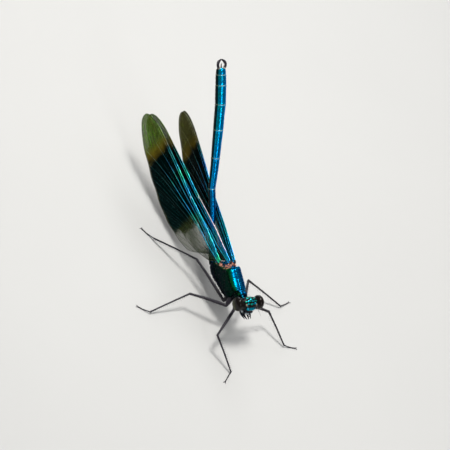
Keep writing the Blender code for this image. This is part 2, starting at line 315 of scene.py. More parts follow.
def mixColour(tree, factor, a, b, kind="MIX"):
    a = a if isinstance(a, bpy.types.NodeSocket) else (*a, 1.0)
    b = b if isinstance(b, bpy.types.NodeSocket) else (*b, 1.0)
    return addNode(tree, "ShaderNodeMix", {0: factor, 6: a, 7: b}, data_type="RGBA", blend_type=kind).outputs[2]


def calc(tree, kind, a, b=0.0, clamp=False):
    return addNode(tree, "ShaderNodeMath", {0: a, 1: b}, operation=kind, use_clamp=clamp).outputs[0]


def fade(tree, value, low, high, start=0.0, end=1.0):
    inputs = {0: value, 1: low, 2: high, 3: start, 4: end}
    return addNode(tree, "ShaderNodeMapRange", inputs, interpolation_type="SMOOTHSTEP").outputs[0]


def ramp(tree, value, stops):
    node = addNode(tree, "ShaderNodeValToRGB", {0: value})
    band = node.color_ramp
    while len(band.elements) < len(stops):
        band.elements.new(0.5)
    for element, (place, colour) in zip(band.elements, stops):
        element.position = place
        element.color = (*colour, 1.0)
    return node.outputs[0]


def mark(tree, name):
    return addNode(tree, "ShaderNodeAttribute", attribute_name=name).outputs["Fac"]


def objectPlace(tree):
    return addNode(tree, "ShaderNodeTexCoord").outputs["Object"]


def noiseAt(tree, place, scale, detail=2.0):
    return addNode(tree, "ShaderNodeTexNoise", {"Vector": place, "Scale": scale, "Detail": detail}).outputs["Fac"]


def swing(tree, value, size):
    # a value between 0 and 1 made to swing to both sides of 0
    return calc(tree, "MULTIPLY", calc(tree, "SUBTRACT", value, 0.5), size)


def raiseBy(tree, shader, height, depth, strength=1.0, **settings):
    inputs = {"Height": height, "Distance": depth * mm, "Strength": strength}
    raised = addNode(tree, "ShaderNodeBump", inputs, **settings)
    tree.links.new(raised.outputs[0], shader.inputs["Normal"])


def newGroup(name, inputs, outputs):
    group = bpy.data.node_groups.new(name, "ShaderNodeTree")
    for label, kind, value in inputs:
        socket = group.interface.new_socket(label, in_out="INPUT", socket_type=kind)
        socket.default_value = value
    for label, kind in outputs:
        group.interface.new_socket(label, in_out="OUTPUT", socket_type=kind)
    return group, group.nodes.new("NodeGroupInput"), group.nodes.new("NodeGroupOutput")


def makeGrain():
    # fine pits and wrinkles of hard skin: a mask for colour and roughness, and a height
    group, given, made = newGroup(
        "cuticleGrain",
        [("Scale", "NodeSocketFloat", 9000.0), ("Wrinkle", "NodeSocketFloat", 0.5)],
        [("Mask", "NodeSocketFloat"), ("Height", "NodeSocketFloat")])
    place = objectPlace(group)
    scale, wrinkle = given.outputs["Scale"], given.outputs["Wrinkle"]
    pits = addNode(group, "ShaderNodeTexVoronoi", {"Vector": place, "Scale": scale}).outputs["Distance"]
    noise = noiseAt(group, place, calc(group, "MULTIPLY", scale, 0.22), 4.0)
    height = calc(group, "ADD", calc(group, "MULTIPLY", pits, 0.5), calc(group, "MULTIPLY", noise, wrinkle))
    group.links.new(noise, made.inputs["Mask"])
    group.links.new(height, made.inputs["Height"])
    return group


def makeFilm():
    # the metallic colour of hard skin, which turns from green to blue with the way that it faces
    group, given, made = newGroup(
        "filmColour",
        [("Lean", "NodeSocketFloat", 0.5), ("Grain", "NodeSocketFloat", 0.5), ("Shift", "NodeSocketFloat", 0.0)],
        [("Color", "NodeSocketColor")])
    place = addNode(group, "ShaderNodeTexCoord")
    facing = addNode(group, "ShaderNodeSeparateXYZ", {0: place.outputs["Normal"]})
    lean = calc(group, "MULTIPLY", facing.outputs[0], given.outputs["Lean"])
    blotch = swing(group, noiseAt(group, place.outputs["Object"], 1400.0, 3.0), given.outputs["Grain"])
    value = calc(group, "ADD", calc(group, "ADD", lean, blotch), calc(group, "ADD", given.outputs["Shift"], 0.5))
    colour = ramp(group, value, [
        (0.0, (0.005, 0.13, 0.03)), (0.16, (0.0, 0.25, 0.09)), (0.34, (0.0, 0.26, 0.28)),
        (0.52, (0.0, 0.22, 0.52)), (0.75, (0.0, 0.075, 0.25)), (1.0, (0.002, 0.03, 0.11))])
    group.links.new(colour, made.inputs["Color"])
    return group


grainGroup = makeGrain()
filmGroup = makeFilm()


def newMaterial(name, roughness=0.4, metallic=0.0, coat=0.0, coatRoughness=0.1, ior=1.5):
    material = bpy.data.materials.new(name)
    material.use_nodes = True
    tree = material.node_tree
    shader = tree.nodes["Principled BSDF"]
    shader.inputs["Roughness"].default_value = roughness
    shader.inputs["Metallic"].default_value = metallic
    shader.inputs["Coat Weight"].default_value = coat
    shader.inputs["Coat Roughness"].default_value = coatRoughness
    shader.inputs["IOR"].default_value = ior
    return material, tree, shader


def grainOn(tree, shader, scale, wrinkle, depth, roughLow, roughHigh):
    # pits and wrinkles on a material, and the roughness that goes with them
    grain = addNode(tree, "ShaderNodeGroup", {"Scale": scale, "Wrinkle": wrinkle}, node_tree=grainGroup)
    mask = grain.outputs["Mask"]
    raiseBy(tree, shader, grain.outputs["Height"], depth)
    tree.links.new(fade(tree, mask, 0.3, 0.7, roughLow, roughHigh), shader.inputs["Roughness"])
    return mask


def film(tree, lean, grain, shiftBy):
    inputs = {"Lean": lean, "Grain": grain, "Shift": shiftBy}
    return addNode(tree, "ShaderNodeGroup", inputs, node_tree=filmGroup).outputs[0]


def brighter(tree, colour, gain):
    return mixColour(tree, 1.0, colour, (gain, gain, gain), "MULTIPLY")


def makeThoraxSkin():
    material, tree, shader = newMaterial("thoraxSkin", metallic=0.9, coat=0.03, coatRoughness=0.12)
    shader.inputs["Specular Tint"].default_value = (0.08, 0.35, 0.5, 1.0)
    turn, seam, pale = mark(tree, "turn"), mark(tree, "seam"), mark(tree, "pale")
    mask = grainOn(tree, shader, 9000.0, 0.6, 0.016, 0.18, 0.30)
    colour = film(tree, 0.30, 0.35, fade(tree, turn, 0.10, 0.265, 0.10, -0.30))
    # painted shade: past the edge of the back plate the metallic side is mixed almost to black, standing in for
    # the shade on the side plates
    side = mixColour(tree, 0.92, film(tree, 0.3, 0.4, -0.26), (0.0, 0.004, 0.006))
    colour = mixColour(tree, fade(tree, turn, 0.255, 0.285), colour, side)
    under = mixColour(tree, mask, (0.012, 0.012, 0.012), (0.045, 0.04, 0.035))
    colour = mixColour(tree, fade(tree, turn, 0.66, 0.78), colour, under)
    blotch = calc(tree, "MULTIPLY", fade(tree, mask, 0.50, 0.42), fade(tree, mark(tree, "ahead"), -0.5, -0.25))
    colour = mixColour(tree, calc(tree, "MAXIMUM", seam, blotch), colour, (0.002, 0.004, 0.005))
    spots = noiseAt(tree, objectPlace(tree), 2600.0)
    flesh = mixColour(tree, fade(tree, spots, 0.49, 0.55), (0.010, 0.012, 0.014), (0.80, 0.30, 0.18))
    colour = mixColour(tree, pale, colour, flesh)
    tree.links.new(colour, shader.inputs["Base Color"])
    metal = calc(tree, "SUBTRACT", 0.92, calc(tree, "MULTIPLY", pale, 0.92), clamp=True)
    metal = calc(tree, "MULTIPLY", metal, fade(tree, turn, 0.66, 0.78, 1.0, 0.2))
    tree.links.new(metal, shader.inputs["Metallic"])
    shader.inputs["Specular IOR Level"].default_value = 0.1
    return material


def makeAbdomenSkin():
    material, tree, shader = newMaterial("abdomenSkin", coat=0.01, coatRoughness=0.12)
    shader.inputs["Specular Tint"].default_value = (0.08, 0.35, 0.5, 1.0)
    turn, along, ring, dot = (mark(tree, name) for name in ("turn", "along", "ring", "dot"))
    mask = grainOn(tree, shader, 9000.0, 0.55, 0.016, 0.17, 0.29)
    colour = brighter(tree, film(tree, 0.14, 0.35, fade(tree, along, 0.1, 0.85, 0.26, 0.0)), 1.7)
    # painted shade: from about 55 degrees off the back the flanks are mixed to near black; the black belly
    # further round is the animal's own
    dark = mixColour(tree, mask, (0.0, 0.004, 0.007), (0.0, 0.012, 0.014))
    colour = mixColour(tree, fade(tree, turn, 0.29, 0.37), colour, dark)
    colour = mixColour(tree, fade(tree, turn, 0.72, 0.8), colour, (0.012, 0.012, 0.013))
    colour = mixColour(tree, dot, colour, (0.0, 0.01, 0.015))
    colour = mixColour(tree, ring, colour, mixColour(tree, turn, (0.30, 0.42, 0.26), (0.12, 0.13, 0.08)))
    tree.links.new(colour, shader.inputs["Base Color"])
    metal = calc(tree, "SUBTRACT", 0.94, calc(tree, "MULTIPLY", ring, 0.8), clamp=True)
    # the same painted shade takes the metal off the flanks
    metal = calc(tree, "MULTIPLY", metal, fade(tree, turn, 0.31, 0.42, 1.0, 0.0))
    tree.links.new(metal, shader.inputs["Metallic"])
    shader.inputs["Specular IOR Level"].default_value = 0.05
    return material


def makeHeadSkin():
    material, tree, shader = newMaterial("headSkin", coat=0.05, coatRoughness=0.1)
    shader.inputs["Specular IOR Level"].default_value = 0.12
    gleam, pale = mark(tree, "gleam"), mark(tree, "pale")
    mask = grainOn(tree, shader, 12000.0, 0.6, 0.02, 0.22, 0.42)
    shine = fade(tree, calc(tree, "ADD", gleam, swing(tree, mask, 0.9)), 0.50, 0.58)
    black = mixColour(tree, mask, (0.001, 0.002, 0.002), (0.004, 0.006, 0.006))
    colour = mixColour(tree, shine, black, brighter(tree, film(tree, 0.12, 0.7, -0.17), 2.4))
    colour = mixColour(tree, pale, colour, (0.62, 0.55, 0.36))
    tree.links.new(colour, shader.inputs["Base Color"])
    tree.links.new(calc(tree, "MULTIPLY", shine, 0.92), shader.inputs["Metallic"])
    return material


def makeEyeSurface():
    material, tree, shader = newMaterial("eyeSurface", roughness=0.4, coat=0.42, coatRoughness=0.06)
    shader.inputs["Specular IOR Level"].default_value = 0.05
    place = objectPlace(tree)
    facets = addNode(tree, "ShaderNodeTexVoronoi", {"Vector": place, "Scale": 26000.0}).outputs["Distance"]
    cloud = swing(tree, noiseAt(tree, place, 1800.0, 3.0), 0.5)
    low = calc(tree, "ADD", calc(tree, "SUBTRACT", mark(tree, "outer"), mark(tree, "lift")), cloud)
    olive = mixColour(tree, facets, (0.022, 0.026, 0.004), (0.045, 0.048, 0.010))
    colour = mixColour(tree, fade(tree, low, 0.45, 1.2), (0.005, 0.003, 0.002), olive)
    tree.links.new(colour, shader.inputs["Base Color"])
    raiseBy(tree, shader, facets, 0.02, 0.8, invert=True)
    return material


def makeFaceBlue():
    material, tree, shader = newMaterial("faceBlue", metallic=0.85, coat=0.15, coatRoughness=0.06)
    shader.inputs["Specular Tint"].default_value = (0.08, 0.5, 0.6, 1.0)
    mask = grainOn(tree, shader, 14000.0, 0.5, 0.012, 0.2, 0.34)
    colour = mixColour(tree, calc(tree, "MULTIPLY", mask, 0.6), film(tree, 0.1, 0.3, -0.06), (0.01, 0.55, 0.72))
    colour = mixColour(tree, mark(tree, "edge"), colour, (0.005, 0.006, 0.008))
    tree.links.new(colour, shader.inputs["Base Color"])
    return material


def makeFaceBlack():
    material, tree, shader = newMaterial("faceBlack", coat=0.2, coatRoughness=0.06)
    shader.inputs["Specular IOR Level"].default_value = 0.15
    mask = grainOn(tree, shader, 14000.0, 0.5, 0.012, 0.18, 0.34)
    colour = mixColour(tree, mask, (0.002, 0.003, 0.005), (0.010, 0.017, 0.030))
    # painted highlights: pale-blue glints on the lip and on the pale jaw bases
    colour = mixColour(tree, mark(tree, "pale"), colour, (0.78, 0.90, 0.96))
    tree.links.new(colour, shader.inputs["Base Color"])
    return material


def makeLegSkin():
    material, tree, shader = newMaterial("legSkin", coat=0.05, coatRoughness=0.25)
    shader.inputs["Specular IOR Level"].default_value = 0.3
    mask = grainOn(tree, shader, 11000.0, 0.6, 0.02, 0.32, 0.5)
    colour = mixColour(tree, mask, (0.008, 0.007, 0.010), (0.034, 0.029, 0.042))
    tree.links.new(mixColour(tree, mark(tree, "pale"), colour, (0.5, 0.46, 0.36)), shader.inputs["Base Color"])
    return material


def makeHairMaterial(name, dark, light):
    material, tree, shader = newMaterial(name, roughness=0.45)
    noise = noiseAt(tree, objectPlace(tree), 2500.0)
    tree.links.new(mixColour(tree, noise, dark, light), shader.inputs["Base Color"])
    tree.links.new(fade(tree, noise, 0.3, 0.7, 0.35, 0.55), shader.inputs["Roughness"])
    return material


def wingZones(tree):
    # where the clear root, the dark band and the smoky tip lie, with soft uneven borders
    span, depth = mark(tree, "span"), mark(tree, "depth")
    noise = noiseAt(tree, objectPlace(tree), 900.0, 4.0)
    edge = calc(tree, "ADD", span, swing(tree, noise, 0.05))
    root, amber, tip = (fade(tree, edge, low, high) for low, high in ((0.36, 0.31), (0.735, 0.80), (0.77, 0.86)))
    return span, depth, noise, root, amber, tip


def makeMembrane():
    material, tree, shader = newMaterial("wingMembrane", ior=1.15)
    shader.inputs["Specular IOR Level"].default_value = 0.02
    span, depth, noise, root, amber, tip = wingZones(tree)
    band = mixColour(tree, noise, (0.0, 0.002, 0.002), (0.0, 0.007, 0.007))
    yellow = mixColour(tree, noise, (0.05, 0.040, 0.003), (0.21, 0.15, 0.012))
    colour = mixColour(tree, amber, band, yellow)
    # the tip's smoky olive is partly the membrane's own tint and partly painted shade of the dark green ground
    # seen through it, which also makes it fairly opaque
    smoke = mixColour(tree, noise, (0.045, 0.090, 0.006), (0.15, 0.20, 0.030))
    lines = addNode(tree, "ShaderNodeCombineXYZ", {
        0: calc(tree, "MULTIPLY", span, 5.0), 1: calc(tree, "MULTIPLY", depth, 42.0)}).outputs[0]
    streak = noiseAt(tree, lines, 1.0)
    smoke = mixColour(tree, fade(tree, streak, 0.52, 0.68), smoke, (0.15, 0.36, 0.05))
    smoke = mixColour(tree, fade(tree, streak, 0.48, 0.36), smoke, (0.030, 0.055, 0.010))
    # painted shade browns the tip of the far left pair
    smoke = mixColour(tree, mark(tree, "brown"), smoke, (0.105, 0.085, 0.022))
    colour = mixColour(tree, tip, colour, smoke)
    # painted shade: the clear root is tinted dark olive and made more opaque, darkest along the leading edge and
    # at the very root, standing in for the shaded ground seen through it
    lead = fade(tree, mark(tree, "drop"), 2.3, 1.7)
    clear = mixColour(tree, lead, (0.07, 0.09, 0.022), (0.002, 0.010, 0.008))
    clear = mixColour(tree, fade(tree, span, 0.20, 0.08), clear, (0.006, 0.014, 0.006))
    colour = mixColour(tree, root, colour, clear)
    hem = fade(tree, depth, 0.955, 0.985)
    colour = mixColour(tree, calc(tree, "MULTIPLY", hem, 0.8), colour, (0.10, 0.085, 0.022))
    tree.links.new(colour, shader.inputs["Base Color"])
    bandAlpha = fade(tree, depth, 0.955, 0.985, 0.96, 0.55)
    tipAlpha = calc(tree, "ADD", 0.62, calc(tree, "MULTIPLY", noise, 0.24))
    # painted shade makes the leading part of the far left pair's root more opaque
    leadAlpha = calc(tree, "ADD", 0.10, calc(tree, "MULTIPLY", mark(tree, "brown"), 0.75))
    rootAlpha = calc(tree, "ADD", 0.22, calc(tree, "MULTIPLY", lead, leadAlpha))
    rootAlpha = calc(tree, "MAXIMUM", rootAlpha, fade(tree, span, 0.20, 0.07, 0.2, 0.8))
    alpha = addNode(tree, "ShaderNodeMix", {0: tip, 2: bandAlpha, 3: tipAlpha}).outputs[0]
    alpha = addNode(tree, "ShaderNodeMix", {0: root, 2: alpha, 3: rootAlpha}).outputs[0]
    tree.links.new(alpha, shader.inputs["Alpha"])
    raiseBy(tree, shader, noise, 0.05, 0.6)
    tree.links.new(fade(tree, noise, 0.3, 0.7, 0.30, 0.5), shader.inputs["Roughness"])
    return material


def makeVein():
    material, tree, shader = newMaterial("wingVein", metallic=0.5, roughness=0.25, coat=0.15)
    _, _, noise, root, amber, tip = wingZones(tree)
    glow, blush = mark(tree, "glow"), mark(tree, "blush")
    dull = mixColour(tree, noise, (0.0, 0.05, 0.055), (0.0, 0.12, 0.11))
    dull = mixColour(tree, amber, dull, (0.20, 0.17, 0.05))
    streak = mixColour(tree, fade(tree, noise, 0.42, 0.58), (0.05, 0.08, 0.02), (0.22, 0.42, 0.10))
    # painted shade browns the vein tips of the far left pair
    dull = mixColour(tree, tip, dull, mixColour(tree, mark(tree, "brown"), streak, (0.11, 0.09, 0.04)))
    dull = mixColour(tree, root, dull, (0.02, 0.05, 0.025))
    slow = noiseAt(tree, objectPlace(tree), 260.0)
    bright = ramp(tree, calc(tree, "ADD", slow, calc(tree, "MULTIPLY", mark(tree, "green"), 0.08)), [
        (0.34, (0.0, 0.20, 0.85)), (0.48, (0.0, 0.50, 0.95)),
        (0.64, (0.0, 0.66, 0.68)), (0.78, (0.02, 0.72, 0.22))])
    colour = mixColour(tree, glow, dull, bright)
    # blush paints the rosy highlight on the right fore wing's leading vein and tints the nodus knots pink
    colour = mixColour(tree, blush, colour, (0.75, 0.62, 0.66))
    tree.links.new(colour, shader.inputs["Base Color"])
    metal = calc(tree, "SUBTRACT", 0.55, calc(tree, "MULTIPLY", blush, 0.3))
    metal = calc(tree, "MULTIPLY", metal, fade(tree, amber, 0.0, 1.0, 1.0, 0.25))
    tree.links.new(metal, shader.inputs["Metallic"])
    tree.links.new(fade(tree, noise, 0.3, 0.7, 0.2, 0.34), shader.inputs["Roughness"])
    return material


thoraxSkin = makeThoraxSkin()
abdomenSkin = makeAbdomenSkin()
headSkin = makeHeadSkin()
eyeSurface = makeEyeSurface()
faceBlue = makeFaceBlue()
faceBlack = makeFaceBlack()
legSkin = makeLegSkin()
membraneSurface = makeMembrane()
veinSurface = makeVein()
bristleMaterial = makeHairMaterial("bristle", (0.006, 0.005, 0.006), (0.03, 0.026, 0.03))
downMaterial = makeHairMaterial("down", (0.008, 0.008, 0.008), (0.04, 0.038, 0.034))
print("materials ready")

# Trunk: neck, first ring and the skewed box that bears the wings

trunk = {
    # ahead, middle height, half width, half height
    "stations": [
        (2.2, 7.75, 0.40, 0.40), (1.6, 7.5, 0.44, 0.42), (1.3, 7.36, 0.60, 0.56), (0.98, 7.15, 0.92, 0.9),
        (0.45, 6.9, 1.18, 1.24), (0.0, 6.75, 1.24, 1.36), (-0.33, 6.6, 1.22, 1.36), (-0.65, 6.35, 1.5, 1.68),
        (-1.4, 6.2, 1.72, 2.05), (-2.6, 6.15, 1.8, 2.45), (-3.6, 6.25, 1.8, 2.7), (-4.4, 6.35, 1.78, 2.92),
        (-4.75, 6.15, 1.74, 2.75), (-5.15, 5.85, 1.7, 2.5), (-6.1, 5.45, 1.6, 2.3), (-7.3, 4.95, 1.44, 1.75),
        (-8.15, 4.72, 1.24, 1.3), (-8.6, 4.58, 1.04, 1.02), (-8.85, 4.5, 0.85, 0.82), (-8.95, 4.46, 0.5, 0.5)],
    "softness": 0.09,
    "rowStep": 0.052,
    "columns": 200,
    "backBox": 2.7,
    "bellyBox": 2.3,
    "carina": 0.045,
    "seamDepth": 0.05,
    "seamWidth": 0.072,
    "crowding": 0.38,  # how much closer the columns lie along the back
    "lean": 0.15,  # how far the neck lies to the right
    # lumps of the back between the wings: height, ahead, length, width
    "lumps": [(0.34, -5.55, 0.36, 0.42), (0.50, -6.75, 0.42, 0.42), (0.30, -6.15, 0.24, 0.3),
              (0.20, -7.7, 0.3, 0.5)],
    # grooves between the plates of the belly: ahead, width
    "bellyGrooves": [(-1.0, 0.1), (-2.35, 0.1), (-3.9, 0.12)],
    # each seam of the side: ahead, turn from the back in degrees
    "seams": [
        [(-0.5, 56), (-1.5, 52), (-3.0, 47), (-4.2, 40), (-4.5, 26)],
        [(-1.0, 78), (-1.9, 108), (-2.9, 88), (-4.2, 66), (-5.4, 50)],
        [(-3.3, 114), (-4.8, 98), (-6.2, 80), (-7.4, 58)],
        [(-1.9, 108), (-2.4, 120), (-4.2, 124), (-6.2, 122), (-8.2, 110)]],
}


def profile(stations, softness, step=0.01):
    # stations drawn as even tables with their corners rounded
    stations = np.array(sorted(stations))
    x = np.arange(stations[0, 0], stations[-1, 0], step)
    kernel = bump(np.arange(-3 * softness, 3 * softness + step, step), softness)
    kernel /= kernel.sum()
    pad = len(kernel) // 2
    columns = []
    for k in range(1, stations.shape[1]):
        values = np.pad(np.interp(x, stations[:, 0], stations[:, k]), pad, mode="edge")
        columns.append(np.convolve(values, kernel, mode="valid")[:len(x)])
    return x, columns


def buildTrunk():
    x, (middle, wide, high) = profile(trunk["stations"], trunk["softness"])
    length = np.concatenate([[0], np.cumsum(np.hypot(np.diff(x), np.diff(middle + high)))])
    ahead = np.interp(np.arange(0, length[-1], trunk["rowStep"]), length, x)[::-1]
    middle, wide, high = (np.interp(ahead, x, v) for v in (middle, wide, high))
    columns = trunk["columns"]
    fine = np.linspace(-np.pi, np.pi, 1441)
    share = np.arange(columns) / columns
    share = share + trunk["crowding"] * np.sin(2 * np.pi * share) / (2 * np.pi)
    rows, turns = [], []
    for a, m, w, h in zip(ahead, middle, wide, high):
        backBox = 2 + (trunk["backBox"] - 2) * smoothStep(-a, 0.2, 1.0)
        box = np.where(np.cos(fine) > 0, backBox, trunk["bellyBox"])
        sideways = w * boxed(np.sin(fine), box)
        lift = h * boxed(np.cos(fine), box)
        way = np.concatenate([[0], np.cumsum(np.hypot(np.diff(sideways), np.diff(lift)))])
        turn = np.interp(share * way[-1], way, fine)
        turns.append(turn)
        ring = [np.full(columns, a), np.interp(turn, fine, sideways), m + np.interp(turn, fine, lift)]
        rows.append(np.stack(ring, -1))
    grid, degrees = np.array(rows), np.abs(np.degrees(turns))
    grid[..., 1] -= trunk["lean"] * smoothStep(grid[..., 0], 0.0, 1.8)
    a, side = grid[..., 0], grid[..., 1]
    normal = gridNormals(grid)
    back = smoothStep(degrees, 80, 55)
    upper = smoothStep(degrees, 105, 70)
    belly = smoothStep(degrees, 118, 140)
    plate = smoothStep(-a, 0.5, 0.75) * smoothStep(-a, 4.55, 4.35)

    # the keel of the back plate, with a furrow on both sides of it
    lift = trunk["carina"] * bump(side, 0.075) * plate * back
    lift = lift - 0.02 * bump(np.abs(side) - 0.17, 0.06) * plate * back
    flat = np.stack([a, degrees / 30], -1)
    seam = np.zeros_like(a)
    for line in trunk["seams"]:
        away = pathDistance(flat, [(p, q / 30) for p, q in line])
        seam = np.maximum(seam, bump(away, trunk["seamWidth"]))
    seam = seam * smoothStep(-a, 0.35, 0.5)
    lift -= trunk["seamDepth"] * seam
    # the crest behind the back plate
    lift += 0.20 * bump(a + 4.36, 0.15) * bump(np.abs(side) - 0.62, 0.40) * back
    lift -= 0.16 * bump(a + 4.34, 0.22) * bump(side, 0.13) * back
    lift -= 0.06 * bump(a + 4.05, 0.10) * bump(np.abs(side) - 0.62, 0.45) * back
    collar = bump(a + 0.36, 0.085)
    lift -= 0.13 * collar
    # lobes of the first ring
    lift += upper * (0.14 * bump(a - 0.98, 0.12) + 0.07 * bump(a + 0.14, 0.09) - 0.09 * bump(a - 0.78, 0.07))
    lift += upper * 0.16 * bump(a - 0.40, 0.22) * bump(np.abs(side + 0.03) - 0.5, 0.36)
    lift -= upper * 0.09 * bump(a - 0.06, 0.06)
    lumps = sum(tall * bump(a - at, long) * bump(side, across) for tall, at, long, across in trunk["lumps"])
    lift += lumps * back
    # soft skin round the wing roots
    pale = smoothStep(-a, 4.62, 4.8) * smoothStep(-a, 8.0, 7.6) * smoothStep(degrees, 50, 40)
    pale = pale * smoothStep(lumps, 0.12, 0.05) * smoothStep(np.abs(side), 0.25, 0.5)
    lift += np.sin(a * 21 + side * 5) * 0.025 * pale
    # wrinkles of the neck
    lift += 0.02 * np.sin(a * 40) * smoothStep(a, 1.15, 1.35)
    grooves = sum(bump(a - at, width) for at, width in trunk["bellyGrooves"])
    lift -= belly * 0.08 * (grooves + bump(side, 0.09))
    grid = grid + normal * lift[..., None]

    furrow = np.maximum(bump(a - 0.76, 0.08), bump(a - 0.09, 0.07))
    middleLine = bump(side + 0.03, 0.10) * smoothStep(a, 0.1, 0.2) * smoothStep(a, 0.75, 0.65)
    for dark in (0.9 * bump(side, 0.10) * plate * back, collar, np.maximum(furrow, middleLine) * upper):
        seam = np.maximum(seam, dark)
    shape = Shape()
    addGrid(shape, grid, turn=degrees / 180, seam=np.clip(seam, 0, 1), pale=pale * 0.9, ahead=a)
    shape.build("trunk_skin", thoraxSkin, "thorax_cuticle", ["prothorax", "thorax"])
    return grid, normal, degrees


trunkGrid, trunkNormal, trunkTurn = buildTrunk()
print("trunk ready")

# Abdomen: ten rings that slip into each other

abdomen = {
    "start": (-8.75, 4.35),
    "lengths": (1.05, 1.35, 4.4, 6.55, 5.75, 5.1, 4.6, 3.35, 1.85, 1.15),
    "pitches": (32.0, 35.0, 37.0, 42.5, 54.5, 52.5, 51.5, 45.0, 43.0, 43.0),
    "radii": (0.95, 0.88, 0.78, 0.58, 0.64, 0.78, 0.9, 0.96, 0.98, 0.93, 0.8),
    "keels": (0.1, 0.35, 0.1, 0.0, 0.0, 0.0, 0.0, 0.0, 0.0, 0.0, 0.0),
    "columns": 112,
    "rowStep": 0.075,
    "crowding": 0.72,  # how much closer the rows lie at both ends of a ring
    "dots": {5: 2, 6: 3, 7: 3, 8: 2},  # ring number: dark dots on each side
}


def abdomenSpine():
    # rows of centre, upward, radius, keel, ring number, way from the ring's start and ring's length
    ahead, up = abdomen["start"]
    pitches = [math.radians(p) for p in abdomen["pitches"]]
    tangents = [(pitches[max(i - 1, 0)] + p) / 2 for i, p in enumerate(pitches)] + [pitches[-1]]
    rows = []
    for i, length in enumerate(abdomen["lengths"]):
        start = np.array([ahead, 0.0, up])
        ahead -= length * math.cos(pitches[i])
        up += length * math.sin(pitches[i])
        end = np.array([ahead, 0.0, up])
        count = max(26, round(length / abdomen["rowStep"]))
        for k in range(count + (i == len(pitches) - 1)):
            share = k / count
            share = share - abdomen["crowding"] * math.sin(2 * math.pi * share) / (2 * math.pi)
            turn, radius, keel = (values[i] + (values[i + 1] - values[i]) * share
                                  for values in (tangents, abdomen["radii"], abdomen["keels"]))
            upward = np.array([math.sin(turn), 0.0, math.cos(turn)])
            bow = (tangents[i] - tangents[i + 1]) * length * share * (1 - share) / 2
            centre = start + (end - start) * share - upward * bow
            rows.append((centre, upward, radius, keel, i, share * length, length))
    return rows, np.array([ahead, 0.0, up])


def buildAbdomen():
    rows, tail = abdomenSpine()
    columns = abdomen["columns"]
    angle = 2 * np.pi * np.arange(columns) / columns - np.pi
    degrees = np.degrees(np.abs(angle))
    starts = np.concatenate([[0], np.cumsum(abdomen["lengths"])])
    lastRing = len(abdomen["lengths"]) - 1
    # a fold where the back plate meets the belly plate, deepest in the middle rings
    fold = bump(degrees - 138, 9) * 0.07 + 0.05 * smoothStep(degrees, 140, 165)
    grid, marks = [], {"turn": [], "along": [], "ring": [], "dot": []}
    for centre, upward, radius, keel, i, way, length in rows:
        left = length - way
        size = radius
        if i < lastRing:
            size = size + 0.035 * bump(left - 0.10, 0.09)
        if i > 0:
            size = size - 0.06 * bump(way, 0.07) - 0.03 * bump(way - 0.16, 0.07)
        if i < lastRing:
            size = size - 0.075 * smoothStep(left, 0.03, 0.0)
        else:
            size = size * (1 - 0.35 * smoothStep(left, 0.22, 0.0))
        ripple = 0.004 * np.sin(angle * 9 + way * 7) + 0.003 * np.sin(way * 23 + angle * 4)
        r = size - fold * (0.4 + 0.6 * radius) + ripple
        sideways = np.sin(angle) * r
        lift = np.cos(angle) * (r + keel / 2 * (np.cos(angle) < 0)) - keel / 2 * 0.35
        if i == 1:  # swollen belly of the second ring
            lift = lift - 0.34 * bump(degrees - 160, 22) * bump(way - 0.62, 0.42)
            lift = lift + 0.22 * bump(np.abs(angle) - np.pi, 0.22) * bump(way - 0.62, 0.5)
        grid.append(centre + np.outer(sideways, (0, 1, 0)) + np.outer(lift, upward))
        pale = bump(left - 0.02, 0.055) if i < lastRing else 0.0
        if i > 0:
            pale = max(pale, 0.55 * bump(way - 0.02, 0.045))
        spots = 0.55 * bump(angle * radius, 0.035) * smoothStep(way, 0.1, 0.5)
        dots = abdomen["dots"].get(i, 0)
        for k in range(dots):
            at = length * (0.3 + 0.42 * k / max(1, dots - 1))
            spots = np.maximum(spots, bump(way - at, 0.06) * bump((np.abs(angle) - 0.24) * radius, 0.055))
        marks["turn"].append(np.abs(angle) / np.pi)
        marks["along"].append(np.full(columns, (starts[i] + way) / starts[-1]))
        marks["ring"].append(pale * (1 - 0.35 * np.abs(np.sin(angle * 1.5))))
        marks["dot"].append(spots)
    grid = np.array(grid)
    shape = Shape()
    addGrid(shape, grid, **{name: np.array(values) for name, values in marks.items()})
    nodes = [f"abdomen_{i + 1:02d}" for i in range(lastRing + 1)]
    shape.build("abdomen_skin", abdomenSkin, "abdomen_cuticle", nodes)
    return grid, tail


abdomenGrid, tail = buildAbdomen()
print("abdomen ready")

# Claspers at the tail: two upper ones closed as tongs and two short lower ones

claspers = {
    "length": 1.6,
    "bow": 0.50,
    "root": 0.26,
    "tip": 0.19,
    "lift": 0.16,
    "lowerLength": 0.85,
    "toothLength": 0.13,
    "toothRadius": 0.04,
}


